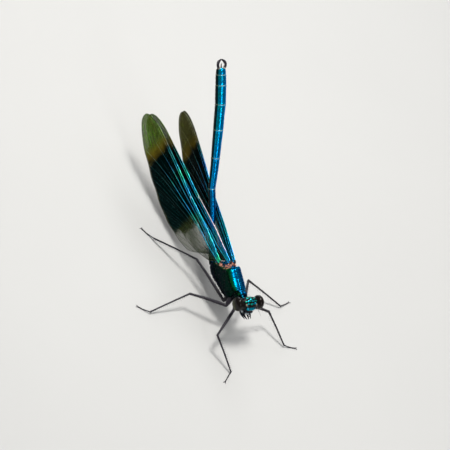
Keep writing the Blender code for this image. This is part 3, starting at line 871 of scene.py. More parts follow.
def buildClaspers():
    turn = math.radians(abdomen["pitches"][-1])
    run = np.array([-math.cos(turn), 0.0, math.sin(turn)])
    upward = np.array([math.sin(turn), 0.0, math.cos(turn)])
    leftward = np.array([0, 1, 0])

    def place(reach, out, lift):
        return tail + reach[:, None] * run + out[:, None] * leftward + lift[:, None] * upward

    for side, word in bothSides:
        shape = Shape()
        share = np.linspace(0, 1, 40)
        out = 0.42 + claspers["bow"] * np.sin(np.pi * share) ** 0.8 - 0.20 * share - 0.1 * bump(share - 1, 0.12)
        lift = claspers["lift"] + 0.10 * np.sin(np.pi * share)
        path = place(-0.1 + claspers["length"] * share, side * out, lift)
        radii = claspers["root"] * (1 - share) + claspers["tip"] * share + 0.05 * bump(share - 0.72, 0.16)
        radii = radii - 0.05 * smoothStep(share, 0.86, 1.0)
        pale = alongTube(0.8 * bump(share - 0.02, 0.10), 16, 0.8)
        addTube(shape, path, radii, 16, reference=upward, pale=pale)
        # teeth along the inner edge
        teeth = path[20:37:2] - side * leftward * radii[20:37:2, None] * 0.8
        ways = np.tile(-side * leftward, (len(teeth), 1)) + run * 0.3
        addHairs(shape, teeth, ways, claspers["toothLength"], claspers["toothRadius"])
        share = np.linspace(0, 1, 18)
        lower = place(-0.15 + claspers["lowerLength"] * share, side * (0.30 - 0.05 * share), -0.34 + 0.1 * share)
        addTube(shape, lower, 0.15 - 0.07 * share, 12, reference=upward)
        shape.build(f"clasper_{word}", legSkin, "leg_cuticle", [f"cercus_{word}"])


buildClaspers()
print("claspers ready")

# Head


def fromEye(a, y, u):
    # how far a place lies from the middle of the nearer eye; 1 is on its surface
    ex, ey, ez = head["eye"]
    ra, rs, ru = head["eyeRadii"]
    return np.sqrt(((a - ex) / ra) ** 2 + ((np.abs(y) - ey) / rs) ** 2 + ((u - ez) / ru) ** 2)


def buildHead():
    side = acrossShares(head["rows"], 78, 0.985)
    swell = np.sqrt(1 - 0.97 * side**4)[:, None]
    angle = 2 * np.pi * np.arange(head["columns"]) / head["columns"]  # 0 ahead, a quarter turn up
    depth, height = boxed(np.cos(angle), head["box"]), boxed(np.sin(angle), head["box"])
    y = (side * head["halfSpan"])[:, None] + 0 * angle
    a = head["halfDepth"] * swell * depth
    u = head["halfHeight"] * swell * height
    # the back of the head is hollowed, the brow stands forward
    a = a + 0.16 * np.maximum(-depth, 0) * swell
    a = a + 0.10 * bump(angle - 0.45, 0.35) * bump(y, 0.9)
    top = smoothStep(u, 0.25, 0.75)
    gleam = np.zeros_like(a)
    rise = np.zeros_like(a)
    strayAhead = a + 0.05 * np.sin(4.3 * y + 3 * u + 0.7) + 0.03 * np.sin(12 * y - 5 * a + 1)
    strayOut = np.abs(y + 0.06 * np.sin(7 * a + 1.3) + 0.03 * np.sin(15 * a + 8 * y))
    for ahead, out, long, wide, tall in head["patches"]:
        spot = bump(strayAhead - ahead, long) * bump(strayOut - out, wide) * top
        gleam = np.maximum(gleam, spot)
        rise = rise + tall * spot
    rise = rise - 0.05 * bump(a - 0.30, 0.05) * bump(np.abs(y) - 0.4, 0.5) * top
    rise = rise - 0.05 * bump(a + 0.62, 0.05) * bump(y, 0.9) * top
    rise = rise + 0.05 * bump(y, 0.2) * bump(a + 0.05, 0.3) * top
    # a raised rim round each eye
    away = fromEye(a, y, u) - 1
    rim = bump(away - 0.03, 0.05)
    rise = rise + 0.035 * rim
    grid = np.stack([a, y, u], -1)
    normal = gridNormals(grid)
    grid = grid + normal * rise[..., None]
    gleam = gleam * (1 - rim) * smoothStep(away, 0.05, 0.12)
    pale = 0.9 * bump(a - 0.62, 0.10) * bump(np.abs(y) - 1.06, 0.09) * top
    shape = Shape()
    addGrid(shape, headPlace(grid), gleam=gleam, pale=pale)
    shape.build("head_capsule", headSkin, "head_cuticle", ["head"])
    return grid, normal


headGrid, headNormal = buildHead()


def buildEyes():
    ex, ey, ez = head["eye"]
    ball = ballGrid(head["eyeRows"], head["eyeColumns"], 88)
    for side, word in bothSides:
        shape = Shape()
        grid = headPlace(np.array([ex, side * ey, ez]) + ball * np.array(head["eyeRadii"]))
        addGrid(shape, grid, outer=ball[..., 1] * side, lift=ball[..., 2])
        shape.build(f"compound_eye_{word}", eyeSurface, "compound_eye", [f"eye_{word}"])


buildEyes()


face = {
    # each bar: half width, place ahead of and above the head's middle, half depth, half height
    "clypeus": (1.05, (1.17, 0.38), 0.38, 0.30),
    "lip": (1.0, (1.18, -0.14), 0.34, 0.26),
    "labrum": (0.98, (1.48, -0.66), 0.46, 0.36),
    "chin": (1.0, (0.74, -1.62), 0.52, 0.42),
    # each tube: places ahead, out and up, first and last radius, points, sides, flatness
    "jaw": ([(0.75, 1.08, -0.5), (1.12, 0.98, -0.95), (1.34, 0.62, -1.32), (1.38, 0.30, -1.44)],
            (0.30, 0.09), 30, 16, 1.0),
    "palp": ([(0.62, 0.92, -1.30), (1.20, 0.92, -1.50), (1.85, 0.82, -1.46), (2.48, 0.62, -1.30)],
             (0.34, 0.06), 36, 16, 0.9),
    "hook": ([(1.85, 0.80, -1.46), (2.05, 0.64, -1.44), (2.18, 0.48, -1.38)], (0.07, 0.02), 12, 10, 1.0),
    "lobe": ([(0.95, 0.42, -1.52), (1.60, 0.38, -1.55), (2.2, 0.28, -1.40), (2.62, 0.18, -1.20)],
             (0.30, 0.055), 36, 16, 0.9),
    "cheek": ([(0.25, 1.25, -0.75), (0.62, 1.22, -0.95), (0.95, 1.08, -1.2)], (0.42, 0.26), 16, 16, 1.0),
    "scape": ([(0.72, 1.0, 0.80), (0.88, 0.98, 0.98), (1.02, 0.95, 1.08)], (0.125, 0.105), 12, 16, 1.0),
    "pedicel": ([(1.03, 0.95, 1.09), (1.22, 0.90, 1.17), (1.42, 0.88, 1.20)], (0.075, 0.05), 14, 14, 1.0),
    "whip": ([(1.42, 0.88, 1.20), (2.0, 0.92, 1.24), (2.5, 1.02, 1.25), (2.95, 1.15, 1.2)],
             (0.034, 0.010), 40, 10, 1.0),
    "ocelli": ((0.34, 0.0, 1.17), (-0.02, -0.33, 1.24), (-0.02, 0.33, 1.24)),
    "ocellus": (0.10, 0.10, 0.085),
}


def addBar(shape, name, rows=70, columns=64, fullness=3.0, notch=0.0, **marks):
    # a bar across the face, full in the middle and closing round to both sides
    halfSpan, (ahead, up), halfDepth, halfHeight = face[name]
    side = acrossShares(rows, 80, 0.99)[:, None]
    swell = np.sqrt(1 - 0.98 * np.abs(side) ** fullness)
    angle = 2 * np.pi * np.arange(columns) / columns
    depth, height = boxed(np.cos(angle), 2.4), boxed(np.sin(angle), 2.4)
    y = side * halfSpan + 0 * angle
    a = ahead + halfDepth * swell * depth - 0.12 * side**2
    u = up + halfHeight * swell * height
    u = u + notch * bump(side, 0.2) * (height < 0) * np.abs(height)
    marks = {label: rule(side + 0 * angle, angle + 0 * side) for label, rule in marks.items()}
    addGrid(shape, headPlace(np.stack([a, y, u], -1)), **marks)


def addFaceTube(shape, name, side, pale=0.0, start=0.0):
    # one of the tubes of the mouth and feelers, with its pale numbers along it
    places, radii, count, sides, flat = face[name]
    path = curveThrough([(ahead, side * out, up) for ahead, out, up in places], count)
    pale = alongTube(np.broadcast_to(pale, count), sides, start)
    addTube(shape, headPlace(path), np.linspace(*radii, count), sides, flat=flat, pale=pale)


def clypeusEdge(side, angle):
    dark = bump(np.cos(angle) + 0.4, 0.5) + smoothStep(np.abs(side), 0.78, 0.95)
    return np.clip(dark + smoothStep(-np.sin(angle), 0.15, 0.5), 0, 1)


def labrumGlints(side, angle):
    # painted highlights: pale-blue glints in spots along the black lip
    spots = bump(np.abs(side - 0.1) - 0.36, 0.15) + bump(side + 0.62, 0.12)
    return spots * bump(np.sin(angle) - 0.42, 0.30)


def noPale(side, angle):
    return 0 * side


def buildFace():
    shape = Shape()
    addBar(shape, "clypeus", edge=clypeusEdge)
    shape.build("clypeus_bar", faceBlue, "head_cuticle", ["clypeus"])

    shape = Shape()
    addBar(shape, "lip", rows=50, columns=40, pale=noPale)
    addBar(shape, "labrum", notch=0.10, fullness=2.6, pale=labrumGlints)
    shape.build("labrum_lip", faceBlack, "mouth_cuticle", ["labrum"])

    shape = Shape()
    addBar(shape, "chin", fullness=2.4, pale=noPale)
    for side, word in bothSides:
        # a pale spot at the jaw base, in the pale blue of a painted highlight
        addFaceTube(shape, "jaw", side, 0.5 * bump(np.linspace(0, 1, face["jaw"][2]) - 0.3, 0.12))
        for name in ("palp", "hook", "lobe", "cheek"):
            addFaceTube(shape, name, side)
    shape.build("mouth_parts", faceBlack, "mouth_cuticle", ["mouthparts"])

    # three simple eyes in a triangle on the brow
    shape = Shape()
    for place in face["ocelli"]:
        addBlob(shape, headPlace(place), face["ocellus"], outer=0.2, lift=0.0)
    shape.build("ocelli", eyeSurface, "compound_eye")

    for side, word in bothSides:
        shape = Shape()
        addFaceTube(shape, "scape", side, 0.9 * bump(np.linspace(0, 1, face["scape"][2]), 0.5), 0.9)
        addFaceTube(shape, "pedicel", side)
        addFaceTube(shape, "whip", side)
        shape.build(f"feeler_{word}", legSkin, "leg_cuticle", [f"antenna_{word}"])


buildFace()
print("head ready")

# Wings: a thin pleated membrane with a net of solid veins

wing = {
    "fore": ((-5.1, 0.45, 8.95), (-37.6, 3.14, 12.1)),
    "hind": ((-6.3, 1.27, 7.5), (-37.9, 3.86, 11.8)),
    "splay": 5.0,
    "rise": 0.35,
    "depth": 7.85,
    "widest": 0.48,
    "fullness": 0.7,
    "opening": {"fore": 0.12, "hind": 0.22},
    "hinge": {"fore": 1.3, "hind": 1.7},
    "bluntness": 1.3,
    "tipStart": 0.84,
    "tipDrop": 2.0,
    "thickness": 0.03,
    "pleat": 0.075,
    "nodus": 0.43,
    "mainVeins": 10,
    "gap": 0.60,
    "crossStep": 0.44,
    "crossRadius": 0.013,
    "leftShade": 0.75,  # painted shade: how brown the shaded left pair is made
    "rows": 260,
    "columns": 90,
    # half widths of the strong veins as (share of the wing's length, half width)
    "leadVein": ([0, 0.05, 0.45, 1], [0.11, 0.08, 0.065, 0.03]),
    "hindVein": ([0, 0.3, 1], [0.04, 0.03, 0.025]),
    "secondVein": ([0, 0.1, 0.5, 1], [0.085, 0.08, 0.065, 0.026]),
    "longVeins": (0.062, 0.026, 0.020, 0.017),
}


def wingFrame(which, side):
    base, tip = (np.array([p[0], side * p[1], p[2]]) for p in wing[which])
    length = np.linalg.norm(tip - base)
    run = (tip - base) / length
    level = np.array([0.0, 0.0, 1.0])
    chord = unit(level - run * (level @ run))
    through = np.cross(run, chord)
    through = through * np.sign(through[1] * side)
    splay = math.radians(wing["splay"])
    c, s = math.cos(splay), math.sin(splay)
    return base, run, chord * c - through * s, through * c + chord * s, length


def costaLine(q):
    q = np.clip(q, 0, 1)
    corner = np.clip((q - wing["tipStart"]) / (1 - wing["tipStart"]), 0, 1)
    rise = wing["rise"] * np.sin(np.pi * q**0.8) ** 0.5
    rise = rise + 0.15 * bump(q - 0.2, 0.12) - 0.15 * bump(q - 0.48, 0.1)
    return rise - wing["tipDrop"] * (1 - np.sqrt(1 - corner**2)) + 0.08


def marginLine(q, which):
    q = np.clip(q, 0, 1)
    widest = wing["widest"]
    near = np.sin(np.pi / 2 * np.clip(q / widest, 0, 1) ** wing["fullness"])
    near = near * smoothStep(q, 0, wing["opening"][which])
    far = np.sqrt(np.clip(1 - (np.clip(q - widest, 0, 1) / (1 - widest)) ** wing["bluntness"], 0, 1))
    far = (wing["tipDrop"] + (wing["depth"] - wing["tipDrop"]) * far) / wing["depth"]
    return -wing["depth"] * np.where(q < widest, near, far) - 0.12


def chordDepth(q, which="fore"):
    # the hinge keeps the very root broad
    hinge = wing["hinge"][which] * (1 - np.clip(q, 0, 1) / 0.04)
    return np.maximum(costaLine(q) - marginLine(q, which), hinge)


def veinDrop(q, f):
    # how far a long vein lies below the leading edge; f is 0 at that edge and 1 at the hindmost
    ends = 0.985 - 0.70 * f**0.8
    power = 3.1 - 1.6 * f**0.6
    start = 0.85 + 2.6 * f**0.8
    fanned = 0.42 + (start - 0.42) * np.clip(np.asarray(q) / 0.15, 0, 1) ** 0.9
    return fanned + (chordDepth(ends) - start) * (q / ends) ** power


def planVeins(which):
    # fractions of the long veins, each with where it starts: new ones come in as the fan opens
    q = np.linspace(0.02, 0.985, 500)
    veins = [(f, 0.02, 0) for f in np.linspace(0.02, 1.0, wing["mainVeins"])]
    for level in (1, 2, 3):
        more = []
        ordered = sorted(veins)
        for (f1, s1, _), (f2, s2, _) in zip(ordered, ordered[1:]):
            inside = (veinDrop(q, f1) < chordDepth(q, which) - 0.05) & (q > max(s1, s2))
            wide = inside & (veinDrop(q, f2) - veinDrop(q, f1) > wing["gap"] * 1.75)
            if wide.any():
                more.append(((f1 + f2) / 2, float(q[wide][0]), level))
        veins += more
    return sorted(veins)


veinPlans = {which: planVeins(which) for which in ("fore", "hind")}


def pleatAt(q, drop):
    # the long veins lie by turns on the ridges and in the furrows
    lines = np.array([veinDrop(q, f) for f, start, level in veinPlans["fore"] if level == 0])
    lines = np.concatenate([np.zeros((1,) + lines.shape[1:]), lines])
    index = np.zeros_like(drop)
    for k in range(len(lines) - 1):
        gap = np.maximum(lines[k + 1] - lines[k], 1e-6)
        index = np.where(drop >= lines[k], k + np.clip((drop - lines[k]) / gap, 0, 1), index)
    return wing["pleat"] * np.cos(np.pi * index) * smoothStep(q, 0.0, 0.06) * smoothStep(q, 1.0, 0.85)


def buildWing(which, side):
    word = "left" if side > 0 else "right"
    base, run, chord, through, length = wingFrame(which, side)

    def onWing(q, drop, lift=0.0):
        q, drop = np.asarray(q, float), np.asarray(drop, float)
        height = costaLine(q) - drop
        raised = pleatAt(q, drop) + lift
        place = base + q[..., None] * length * run + height[..., None] * chord
        return place + np.asarray(raised)[..., None] * through

    rows, columns = wing["rows"], wing["columns"]
    q = 0.5 - 0.5 * np.cos(np.pi * (0.07 + 0.925 * np.arange(rows) / (rows - 1)))
    depth = np.linspace(0, 1, columns)
    depth = depth - 0.08 * np.sin(2 * np.pi * depth) / (2 * np.pi)
    qGrid = q[:, None] + 0 * depth
    drop = chordDepth(qGrid, which) * depth
    half = wing["thickness"] / 2
    front, backFace = onWing(qGrid, drop, half), onWing(qGrid, drop, -half)
    ringGrid = np.concatenate([front, backFace[:, ::-1]], 1)
    # painted shade: the far left pair is browned at the tip and on its veins, and the leading part of its root is
    # made more opaque
    brown = wing["leftShade"] if side > 0 else 0.0
    bothFaces = {"span": (qGrid, qGrid), "depth": (qGrid * 0 + depth,) * 2, "drop": (drop, drop)}
    marks = {name: np.concatenate([near, far[:, ::-1]], 1) for name, (near, far) in bothFaces.items()}
    shape = Shape()
    addGrid(shape, ringGrid, brown=brown, **marks)
    shape.build(f"wing_{which}_{word}_membrane", membraneSurface, "wing_membrane", [f"wing_{which}_{word}"])

    shape = Shape()

    def addVein(q, drops, radii, glow, blush=0.0, sides=6):
        def spread(values):
            return np.repeat(np.broadcast_to(np.asarray(values, float), len(q))[:, None], sides, 1)

        addTube(shape, onWing(q, drops), radii, sides, reference=through, rounded=False, span=spread(q),
                depth=spread(drops / chordDepth(q, which)), glow=spread(glow), blush=spread(blush),
                green=0.3, brown=brown)

    nodus = wing["nodus"]
    edge = np.linspace(0.012, 0.992, 260)
    bright = smoothStep(edge, 0.80, 0.55)
    # painted highlight: a rosy reflection along the leading vein of the right fore wing
    rosy = 0.85 * smoothStep(edge, 0.06, 0.12) * smoothStep(edge, 0.47, 0.40) * (which == "fore" and side < 0)
    addVein(edge, edge * 0, np.interp(edge, *wing["leadVein"]), bright, rosy, 8)
    addVein(edge, chordDepth(edge, which), np.interp(edge, *wing["hindVein"]), 0.0, sides=5)
    under = np.linspace(0.012, nodus, 90)
    addVein(under, 0.20 * smoothStep(under, nodus, nodus - 0.05), 0.03, 0.5)
    second = np.linspace(0.012, 0.965, 220)
    addVein(second, 0.42 + 0.06 * second, np.interp(second, *wing["secondVein"]), smoothStep(second, 0.80, 0.6))
    knot = onWing(np.array([nodus]), np.array([0.16]))[0]
    addBlob(shape, knot, (0.24, 0.13, 0.2), 12, 16, span=nodus, depth=0.02, glow=1.0, blush=0.6)

    for f, start, level in veinPlans[which]:
        q = np.linspace(max(start, 0.015), 0.985, 200)
        drops = veinDrop(q, f)
        keep = drops < chordDepth(q, which) - 0.02
        if keep.sum() < 8:
            continue
        q, drops = q[keep], drops[keep]
        lead = smoothStep(f, 0.40, 0.16)
        glow = lead * smoothStep(drops, 4.6, 2.0) * smoothStep(q, 0.76, 0.55)
        size = wing["longVeins"][level] * (1.0 if level else 0.5 + 0.5 * lead)
        radii = size * np.interp(q, [0, 0.1, 0.5, 1], [1.15, 1.0, 0.8, 0.5])
        addVein(q, drops, radii, np.clip(glow, 0, 1) * (0.3 if level else 1.0))

    # short veins that cross between neighbours
    steps = np.arange(0.03, 0.975, 0.0008)
    begins = np.array([start for f, start, level in veinPlans[which]])
    drops = np.stack([veinDrop(steps, f) for f, start, level in veinPlans[which]])
    depths = chordDepth(steps, which)
    inside = (drops < depths - 0.03) & (steps[None] >= begins[:, None])
    starts, ends, owed = [], [], {}
    for k, qHere in enumerate(steps):
        live = [(i, drops[i, k]) for i in range(len(drops)) if inside[i, k]]
        lines = [(-1, 0.0)] + live + [(len(drops), depths[k])]
        for (i, top), (j, low) in zip(lines, lines[1:]):
            if low - top < 0.12:
                continue
            if (i, j) not in owed:
                owed[(i, j)] = qHere + rng.uniform(0.2, 1.0) * wing["crossStep"] / length
            if qHere >= owed[(i, j)]:
                slant = rng.uniform(-0.0012, 0.003)
                starts.append((qHere, top))
                ends.append((min(qHere + slant, 0.985), low))
                pace = wing["crossStep"] * rng.uniform(0.75, 1.3) * (0.8 if low < 1.2 else 1.0)
                owed[(i, j)] = qHere + pace / length
    starts, ends = np.array(starts), np.array(ends)
    upper, lower = onWing(starts[:, 0], starts[:, 1]), onWing(ends[:, 0], ends[:, 1])
    sideways = np.cross(unit(lower - upper), through)
    ratio = starts[:, 1] / chordDepth(starts[:, 0], which)
    # painted glints: the cross-veins of the left pair are three times as bright as those of the right
    glow = smoothStep(starts[:, 1], 2.8, 1.4) * smoothStep(starts[:, 0], 0.5, 0.3) * (0.9 if side > 0 else 0.3)
    radius = (wing["crossRadius"] + 0.015 * glow)[:, None]
    points = []
    for place in (upper, lower):
        for turn in (0, 120, 240):
            t = math.radians(turn)
            points.append(place + (sideways * math.cos(t) + through * math.sin(t)) * radius)
    index = (np.arange(len(upper)) * 6)[:, None]
    quads = np.concatenate([index + [k, (k + 1) % 3, 3 + (k + 1) % 3, 3 + k] for k in range(3)])
    marks = {"span": starts[:, 0], "depth": ratio, "glow": glow}
    marks = {name: np.repeat(values, 6) for name, values in marks.items()}
    shape.add(np.stack(points, 1), [quads, index + [2, 1, 0], index + [3, 4, 5]],
              blush=0.0, green=0.9, brown=brown, **marks)
    shape.build(f"wing_{which}_{word}_veins", veinSurface, "wing_membrane", [f"wing_{which}_{word}"])


for which in ("fore", "hind"):
    for side in (-1, 1):
        buildWing(which, side)
print("wings ready")

# Wing roots: small hard plates and soft folds that hinge each wing

roots = {
    "feet": (("fore", 0.55, 0.75), ("hind", 0.95, 0.80)),  # how far out and how far below the wing's base
    # each plate: share of the way up, along, across, half sizes, how rosy
    "plates": [
        (0.05, 0.0, 0.0, (0.42, 0.24, 0.30), 0.75), (0.30, -0.25, 0.05, (0.30, 0.17, 0.22), 0.35),
        (0.42, 0.22, -0.05, (0.30, 0.20, 0.20), 0.85), (0.70, -0.12, 0.10, (0.24, 0.14, 0.22), 0.70),
        (0.85, 0.20, 0.12, (0.26, 0.13, 0.16), 0.40), (1.0, 0.05, -0.15, (0.30, 0.12, 0.14), 0.65),
        (1.0, 0.30, 0.22, (0.34, 0.14, 0.15), 0.15)],
}


def buildWingRoots():
    shape = Shape()
    for which, out, low in roots["feet"]:
        for side, word in bothSides:
            base, run, chord, through, _ = wingFrame(which, side)
            foot = np.array([base[0] - 0.05, side * out, base[2] - low])
            for share, along, across, size, rosy in roots["plates"]:
                place = foot + (base + run * 0.25 - foot) * share + run * along + chord * across
                addBlob(shape, place, size, 16, 22, (run, through, chord), rosy=rosy)
    material, tree, shader = newMaterial("wingRoot", coat=0.1)
    mask = grainOn(tree, shader, 8000.0, 0.7, 0.04, 0.3, 0.5)
    spots = fade(tree, calc(tree, "ADD", mark(tree, "rosy"), swing(tree, mask, 2.2)), 0.42, 0.60)
    flesh = mixColour(tree, mask, (0.62, 0.17, 0.08), (0.88, 0.46, 0.34))
    tree.links.new(mixColour(tree, spots, (0.008, 0.014, 0.018), flesh), shader.inputs["Base Color"])
    shape.build("wing_roots", material, "thorax_cuticle")


buildWingRoots()
print("wing roots ready")

# Legs

legs = {
    "joints": {
        "fore_right": ((0.9, -0.5, 6.1), (1.8, -1.2, 5.1), (5.75, -5.73, 3.55), (11.57, -4.03), (13.3, -5.85)),
        "fore_left": ((0.9, 0.5, 6.1), (1.6, 1.25, 5.4), (1.91, 6.92, 3.74), (7.04, 9.41), (7.66, 11.61)),
        "mid_right": ((-0.6, -0.8, 5.5), (0.3, -1.8, 4.5), (-3.57, -7.21, 3.44), (-2.5, -14.59), (-4.0, -16.27)),
        "mid_left": ((-0.6, 0.8, 5.5), (0.3, 1.8, 4.5), (-5.28, 6.03, 3.47), (-1.3, 12.56), (-2.1, 14.8)),
        "hind_right": (
            (-1.5, -0.45, 4.7), (-1.3, -1.25, 3.75), (-10.33, -2.95, 4.06), (-18.02, -6.74), (-20.36, -7.93)),
        "hind_left": ((-1.5, 0.45, 4.7), (-1.3, 1.25, 3.75), (-9.2, 3.6, 5.0), (-15.2, 7.2), (-17.3, 8.4))},
    "ankleHeight": 0.42,
    "toeHeight": 0.10,
    # how far each thigh bows upwards
    "bow": {"fore_left": 0.44},
    "plainBow": 0.132,
    # half widths along each part as (share of its length, half width)
    "coxa": ([0, 0.5, 0.85, 1], [0.52, 0.46, 0.34, 0.25]),
    "thigh": ([0, 0.12, 0.45, 0.9, 0.97, 1], [0.25, 0.315, 0.29, 0.215, 0.235, 0.21]),
    "shin": ([0, 0.05, 0.12, 0.5, 0.94, 1], [0.19, 0.20, 0.165, 0.15, 0.14, 0.155]),
    "toe": ([0, 0.2, 0.8, 1], [0.075, 0.09, 0.105, 0.10]),
    "bead": [0.28] * 3 + [0.30] * 4 + [0.27] * 5,
    # each claw: along the toe, outwards, up
    "claw": [(0, 0, 0), (0.16, 0.10, 0.06), (0.34, 0.20, -0.01), (0.42, 0.24, -0.075)],
    "clawRadii": (0.06, 0.014),
    "spineStep": 0.42,
    "spineLength": {"thigh": 0.76, "shin": 0.95},
    "spineRadius": 0.022,
    "spineLean": 0.8,
    # short hairs: how many for each millimetre, their length
    "fuzz": {"thigh": (40, 0.16), "shin": (40, 0.14), "foot": (30, 0.10)},
    "fuzzRadius": 0.010,
}


def addSpines(shape, path, radii, out, length):
    # two rows of stiff bristles along a limb, leaning towards its end
    run = unit(np.gradient(path, axis=0))
    way = lengthsAlong(path)
    for row in (-1, 1):
        at = np.arange(0.5, way[-1] - 0.15, legs["spineStep"]) + rng.uniform(-0.06, 0.06)
        roots, runs = valuesAt(way, path, at), unit(valuesAt(way, run, at))
        side = unit(np.cross(runs, out)) * row
        ways = unit(runs * legs["spineLean"] + side * 0.55 + np.asarray(out) * 0.65)
        size = np.interp(at, way, radii)
        roots = roots + unit(ways - runs * legs["spineLean"]) * size[:, None] * 0.7
        lengths = length * rng.uniform(0.75, 1.1, len(at)) * np.interp(at / way[-1], [0, 0.3, 1], [0.7, 1.0, 0.6])
        addHairs(shape, roots, ways, lengths, legs["spineRadius"])


def addFuzz(shape, path, radii, density, length):
    # short hairs all round a limb
    run = unit(np.gradient(path, axis=0))
    way = lengthsAlong(path)
    count = int(way[-1] * density)
    at = np.sort(rng.uniform(0.1, way[-1], count))
    roots, runs = valuesAt(way, path, at), unit(valuesAt(way, run, at))
    out = rng.normal(size=(count, 3))
    out = unit(out - runs * np.sum(out * runs, -1, keepdims=True))
    roots = roots + out * np.interp(at, way, radii)[:, None] * 0.9
    addHairs(shape, roots, runs + out * 0.8, length * rng.uniform(0.7, 1.2, count), legs["fuzzRadius"])


def buildLeg(name, hip, trochanter, knee, ankle, toe):
    hip, trochanter, knee = np.array(hip), np.array(trochanter), np.array(knee)
    ankle = np.array([*ankle, legs["ankleHeight"]])
    toe = np.array([*toe, legs["toeHeight"]])
    shape, bristles = Shape(), Shape()

    coxa = curveThrough([hip, hip + (trochanter - hip) * 0.55, trochanter], 24)
    addTube(shape, coxa, np.interp(np.linspace(0, 1, 24), *legs["coxa"]), 24, pale=0.0)
    thighRun, shinRun = unit(knee - trochanter), unit(ankle - knee)
    bead = curveThrough([trochanter + thighRun * reach for reach in (0.0, 0.28, 0.5)], 12)
    addTube(shape, bead, legs["bead"], 18)
    share = np.linspace(0, 1, 60)
    bow = np.array([0, 0, legs["bow"].get(name, legs["plainBow"])])
    thigh = curveThrough([trochanter + thighRun * 0.35, (trochanter + knee) / 2 + bow, knee], 60)
    thighRadii = np.interp(share, *legs["thigh"])
    addTube(shape, thigh, thighRadii, 18, flat=0.9)
    shin = curveThrough([knee + shinRun * 0.08, (knee + ankle) / 2 + np.array([0, 0, 0.08]), ankle], 60)
    shinRadii = np.interp(share, *legs["shin"])
    addTube(shape, shin, shinRadii, 14, flat=0.9)

    # three foot joints, then two claws, resting on the floor
    bends = [ankle, ankle + (toe - ankle) * 0.22, ankle + (toe - ankle) * 0.55, toe]
    bends[1][2], bends[2][2] = max(bends[1][2] - 0.06, 0.17), legs["toeHeight"] + 0.02
    for start, end in zip(bends, bends[1:]):
        part = curveThrough([start, (start + end) / 2, end], 16)
        size = np.interp(np.linspace(0, 1, 16), *legs["toe"])
        addTube(shape, part, np.minimum(size, part[:, 2] - 0.002), 12)
    toeRun = unit((toe - bends[2]) * [1, 1, 0])
    across = np.array([-toeRun[1], toeRun[0], 0])
    for side in (-1, 1):
        places = [toe + toeRun * a + across * side * out + [0, 0, up] for a, out, up in legs["claw"]]
        addTube(shape, curveThrough(places, 18), np.linspace(*legs["clawRadii"], 18), 8)
    nodes = [f"{part}_{name}" for part in ("coxa", "femur", "tibia", "tarsus")]
    shape.build(f"leg_{name}", legSkin, "leg_cuticle", nodes)

    bend = shinRun @ thighRun
    addSpines(bristles, thigh, thighRadii, unit(shinRun - thighRun * bend), legs["spineLength"]["thigh"])
    addSpines(bristles, shin, shinRadii, unit(shinRun * bend - thighRun), legs["spineLength"]["shin"])
    addFuzz(bristles, thigh, thighRadii, *legs["fuzz"]["thigh"])
    addFuzz(bristles, shin, shinRadii, *legs["fuzz"]["shin"])
    addFuzz(bristles, np.array(bends), np.full(4, 0.06), *legs["fuzz"]["foot"])
    for points in bristles.points:
        points[:, 2] = np.maximum(points[:, 2], 0.004)  # none pokes through the floor
    bristles.build(f"leg_bristles_{name}", bristleMaterial, "leg_cuticle")


for name, joints in legs["joints"].items():
    buildLeg(name, *joints)
print("legs ready")

# Down on the trunk, head and tail: short solid hairs that lie back along the body

down = {
    "radius": 0.007,
    # how many hairs, the shortest and the longest
    "trunk": (3400, 0.14, 0.32),
    "head": (420, 0.10, 0.22),
    "abdomen": (4200, 0.06, 0.12),
    "face": (200, 0.12, 0.30),
}


def pickRoots(grid, normal, weight, count):
    # roots spread over a grid by weight, with the backward way along it
    rows, columns = grid.shape[:2]
    along = np.gradient(grid, axis=0)
    around = (np.roll(grid, -1, 1) - np.roll(grid, 1, 1)) / 2
    area = np.linalg.norm(np.cross(along, around), axis=-1) * weight
    chance = (area / area.sum()).ravel()
    chosen = rng.choice(rows * columns, count, p=chance)
    i, j = np.divmod(chosen, columns)
    jitter = rng.uniform(-0.5, 0.5, (2, count, 1))
    roots = grid[i, j] + along[i, j] * jitter[0] + around[i, j] * jitter[1]
    return roots, normal[i, j], unit(along[i, j]), np.stack([i / rows, j / columns], -1)


